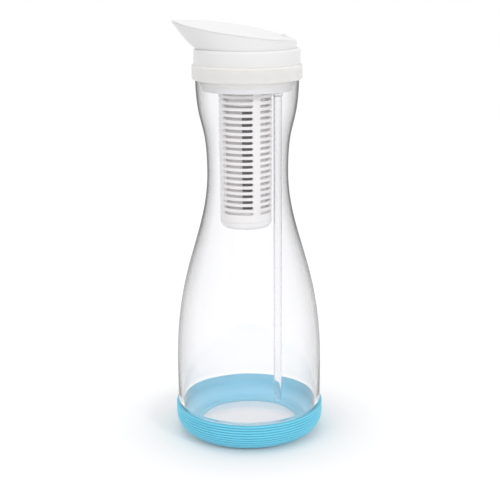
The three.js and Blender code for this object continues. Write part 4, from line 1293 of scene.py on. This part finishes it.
CORE_BORE = 4.2 * MM
BLOCK_BORE = 5.5 * MM
# Turns of the strip taken out of the fleece: the dark carbon shows there as painted shadow, where the cage's
# rib casts its shade
RIB_SHADOW_STRIP = (-100, -56)


class CARAFE_OT_filter_element(bpy.types.Operator):
    """Model the carbon block, its fleece, end caps and O-ring."""

    bl_idname = "carafe.filter_element"
    bl_label = "Filter Element"

    def spun(self, name, node, slot, corners, closed=True):
        """Spins a piece about the element's axis."""
        return seated(filter_turned(name, corners, closed), "element", node, slot)

    def strip(self, reach):
        """Wedge from the element's axis that takes a strip out of the fleece, so the dark carbon stands in
        as painted shadow where the cage's rib casts its shade.
        """
        middle = Vector((CAGE_X, 0, 0))
        sides = [reach * Vector((math.cos(math.radians(t)), math.sin(math.radians(t)), 0)) for t in RIB_SHADOW_STRIP]
        corners = [middle, *[middle + side for side in sides]]
        low, high = (Vector((0, 0, z)) for z in (LOWER_LOW.z, UPPER_HIGH.z))
        rings = [[corner + level for corner in corners] for level in (low, high)]
        return lofted("strip", [[middle + low] * 3, *rings, [middle + high] * 3])

    def execute(self, context):
        wrap, block, foot = (high.x - CAGE_X for high in (WRAP_HIGH, BLOCK_HIGH, LOWER_HIGH))
        self.spun("carbon_block_pressed", "carbon_block", "black_carbon", bar(
            BLOCK_BORE, block, BLOCK_LOW.z, BLOCK_HIGH.z, SMALL_FILLET))
        fleece = self.spun("element_wrap_fleece", "element_wrap", "grey_fleece", bar(
            block + FIT_GAP, wrap, WRAP_LOW.z, WRAP_HIGH.z, SMALL_FILLET / 2))
        # Painted shadow: the strip shows the dark carbon where the cage's rib casts its shade
        combined(fleece, self.strip(2 * wrap), "DIFFERENCE")
        self.spun("element_cap_lower", "element_bottom_cap", "white_plastic", bar(
            0, foot, LOWER_LOW.z, LOWER_HIGH.z, SMALL_FILLET), closed=False)
        cap_top = UPPER_LOW.z + END_CAP
        upper = self.spun("element_cap_upper", "element_top_cap", "white_plastic", [
            (CORE_BORE, UPPER_LOW.z, 0),
            (wrap, UPPER_LOW.z, SMALL_FILLET),
            (wrap, cap_top, SMALL_FILLET),
            (SPIGOT_RADIUS, cap_top, SMALL_FILLET),
            (SPIGOT_RADIUS, UPPER_HIGH.z, SMALL_FILLET),
            (CORE_BORE, UPPER_HIGH.z, SMALL_FILLET)])
        combined(upper, seal_groove("nipple_groove", "element_seal", CAGE_X, SMALL_STEPS), "DIFFERENCE")
        o_ring("element_o_ring", "element", "element_seal", CAGE_X, SMALL_STEPS)
        dressed(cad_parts["core_tube"], "white_plastic")
        return {"FINISHED"}


TUBE_RADIUS = 2.65 * MM
TUBE_BORE = 1.9 * MM
TUBE_HEAD_LENGTH = 9.2 * MM


class CARAFE_OT_air_tube(bpy.types.Operator):
    """Spin the clear air tube with its thicker head."""

    bl_idname = "carafe.air_tube"
    bl_label = "Air Tube"

    def execute(self, context):
        head = TUBE_HIGH.y
        head_low = TUBE_HIGH.z - TUBE_HEAD_LENGTH
        outline = rounded([
            (TUBE_BORE, TUBE_LOW.z, 0),
            (TUBE_RADIUS, TUBE_LOW.z, SMALL_FILLET / 2),
            (TUBE_RADIUS, head_low, SMALL_FILLET),
            (head, head_low + head - TUBE_RADIUS, SMALL_FILLET),
            (head, TUBE_HIGH.z, SMALL_FILLET / 2),
            (TUBE_BORE, TUBE_HIGH.z, 0)])
        piece = turned("air_tube_clear", outline, (TUBE_X, 0, 0), steps=SMALL_STEPS)
        seated(piece, "tube", "air_tube", "clear_plastic")
        return {"FINISHED"}


# Stage

PHOTO_WIDTH = 500
FOCAL_PIXELS = 1115
SENSOR_WIDTH = 36.0
CAMERA_PLACE = Vector((1.15, -727, 314.3)) * MM
CAMERA_PITCH = 14.5
CAMERA_ROLL = 0.38
FLOOR_SIZE = 6.0
FLOOR_DROP = 0.2 * MM
FLOOR_GREY = (0.8, 0.8, 0.8, 1)
AMBIENT = 0.73
FLOOR_SPREAD = 2.5
FLOOR_GLOW = ((0.0, 0.08), (0.016, 0.1), (0.05, 0.25), (0.4, 0.37), (1.0, 0.43))
# Each lamp's name, place, size and power
LAMPS = (
    ("key_softbox", (0.75, -0.95, 0.7), 0.35, 4.3),
    ("fill_softbox", (-0.9, -0.8, 0.8), 0.9, 2.6),
    ("top_softbox", (-0.1, 0.1, 1.4), 1.0, 3.2),
)


def background_ray(tree):
    """1 for the rays that see the background: from the camera, mirrored or through glass."""
    path = add_node(tree, "LightPath")
    seen = path.outputs["Is Camera Ray"]
    for name in ("Is Glossy Ray", "Is Transmission Ray"):
        seen = calculated(tree, "MAXIMUM", seen, path.outputs[name])
    return seen


class CARAFE_OT_stage(bpy.types.Operator):
    """Set the pale floor, the white surroundings, the lamps and the camera."""

    bl_idname = "carafe.stage"
    bl_label = "Stage"

    def execute(self, context):
        scene = context.scene
        scene.view_settings.view_transform = "Standard"
        self.surroundings(scene)
        self.floor()
        for lamp in LAMPS:
            self.lamp(*lamp)
        self.camera(scene)
        return {"FINISHED"}

    def surroundings(self, scene):
        world = scene.world or bpy.data.worlds.new("surroundings")
        scene.world = world
        world.use_nodes = True
        tree = world.node_tree
        tree.nodes.clear()
        dim, full = [
            add_node(tree, "Background", {"Color": WHITE, "Strength": strength})
            for strength in (AMBIENT, 1.0)]
        mix = mixed(tree, background_ray(tree), dim, full)
        add_node(tree, "OutputWorld", {"Surface": mix.outputs[0]})

    def floor(self):
        clear_selection()
        bpy.ops.mesh.primitive_plane_add(size=FLOOR_SIZE, location=(0, 0, -FLOOR_DROP))
        floor = bpy.context.object
        floor.name = "pale_floor"
        material = bpy.data.materials.new("pale_studio_floor")
        material.use_nodes = True
        tree = material.node_tree
        tree.nodes.clear()
        matt = add_node(tree, "BsdfDiffuse", {"Color": FLOOR_GREY})
        away = vector_result(tree, "LENGTH", object_place(tree), output="Value")
        fade = ramped(tree, calculated(tree, "DIVIDE", away, FLOOR_SPREAD), FLOOR_GLOW)
        glow = add_node(tree, "Emission", {"Color": fade})
        both = add_node(tree, "AddShader", {0: matt.outputs[0], 1: glow.outputs[0]})
        mix = mixed(tree, background_ray(tree), matt, both)
        add_node(tree, "OutputMaterial", {"Surface": mix.outputs[0]})
        floor.data.materials.append(material)
        # The floor stays under the sleeve, also where the bottle is lifted out of it
        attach(floor, "sleeve")

    def lamp(self, name, place, size, power):
        light = bpy.data.lights.new(name, "AREA")
        light.shape, light.size, light.energy = "DISK", size, power
        lamp = bpy.data.objects.new(name, light)
        lamp.location = place
        lamp.visible_glossy = lamp.visible_transmission = False
        middle = (CAD_BOX[0] + CAD_BOX[1]) / 2
        lamp.rotation_euler = (middle - lamp.location).to_track_quat("-Z", "Y").to_euler()
        bpy.context.scene.collection.objects.link(lamp)

    def camera(self, scene):
        data = bpy.data.cameras.new("photo_camera")
        data.sensor_width = SENSOR_WIDTH
        data.lens = FOCAL_PIXELS / PHOTO_WIDTH * SENSOR_WIDTH
        camera = bpy.data.objects.new("photo_camera", data)
        camera.location = CAMERA_PLACE
        tilt = Euler((math.radians(90 - CAMERA_PITCH), 0, 0)).to_quaternion()
        roll = Quaternion((0, 0, 1), -math.radians(CAMERA_ROLL))
        camera.rotation_mode = "QUATERNION"
        camera.rotation_quaternion = tilt @ roll
        scene.collection.objects.link(camera)
        scene.camera = camera


OPERATORS = (
    CARAFE_OT_stage,
    CARAFE_OT_bottle,
    CARAFE_OT_foot_sleeve,
    CARAFE_OT_mouth_gasket,
    CARAFE_OT_lid_base,
    CARAFE_OT_spout_housing,
    CARAFE_OT_spout_flap,
    CARAFE_OT_filter_cage,
    CARAFE_OT_filter_element,
    CARAFE_OT_air_tube,
)


class CARAFE_PT_panel(bpy.types.Panel):
    """Lists the carafe's pieces with their sizes and colours."""

    bl_idname = "CARAFE_PT_panel"
    bl_label = "Filter Carafe"
    bl_space_type = "VIEW_3D"
    bl_region_type = "UI"
    bl_category = "Carafe"

    def draw(self, context):
        for group in (context.scene.carafe_sizes, context.scene.carafe_colours):
            column = self.layout.column(align=True)
            for key in group.__annotations__:
                column.prop(group, key)
        for operator in OPERATORS:
            self.layout.operator(operator.bl_idname)


CLASSES = (CarafeSizes, CarafeColours, *OPERATORS, CARAFE_PT_panel)


def register():
    for cls in CLASSES:
        bpy.utils.register_class(cls)
    bpy.types.Scene.carafe_sizes = PointerProperty(type=CarafeSizes)
    bpy.types.Scene.carafe_colours = PointerProperty(type=CarafeColours)


def unregister():
    del bpy.types.Scene.carafe_colours
    del bpy.types.Scene.carafe_sizes
    for cls in reversed(CLASSES):
        bpy.utils.unregister_class(cls)


def main():
    register()
    for operator in OPERATORS:
        family, name = operator.bl_idname.split(".")
        getattr(getattr(bpy.ops, family), name)()


if __name__ == "__main__":
    main()
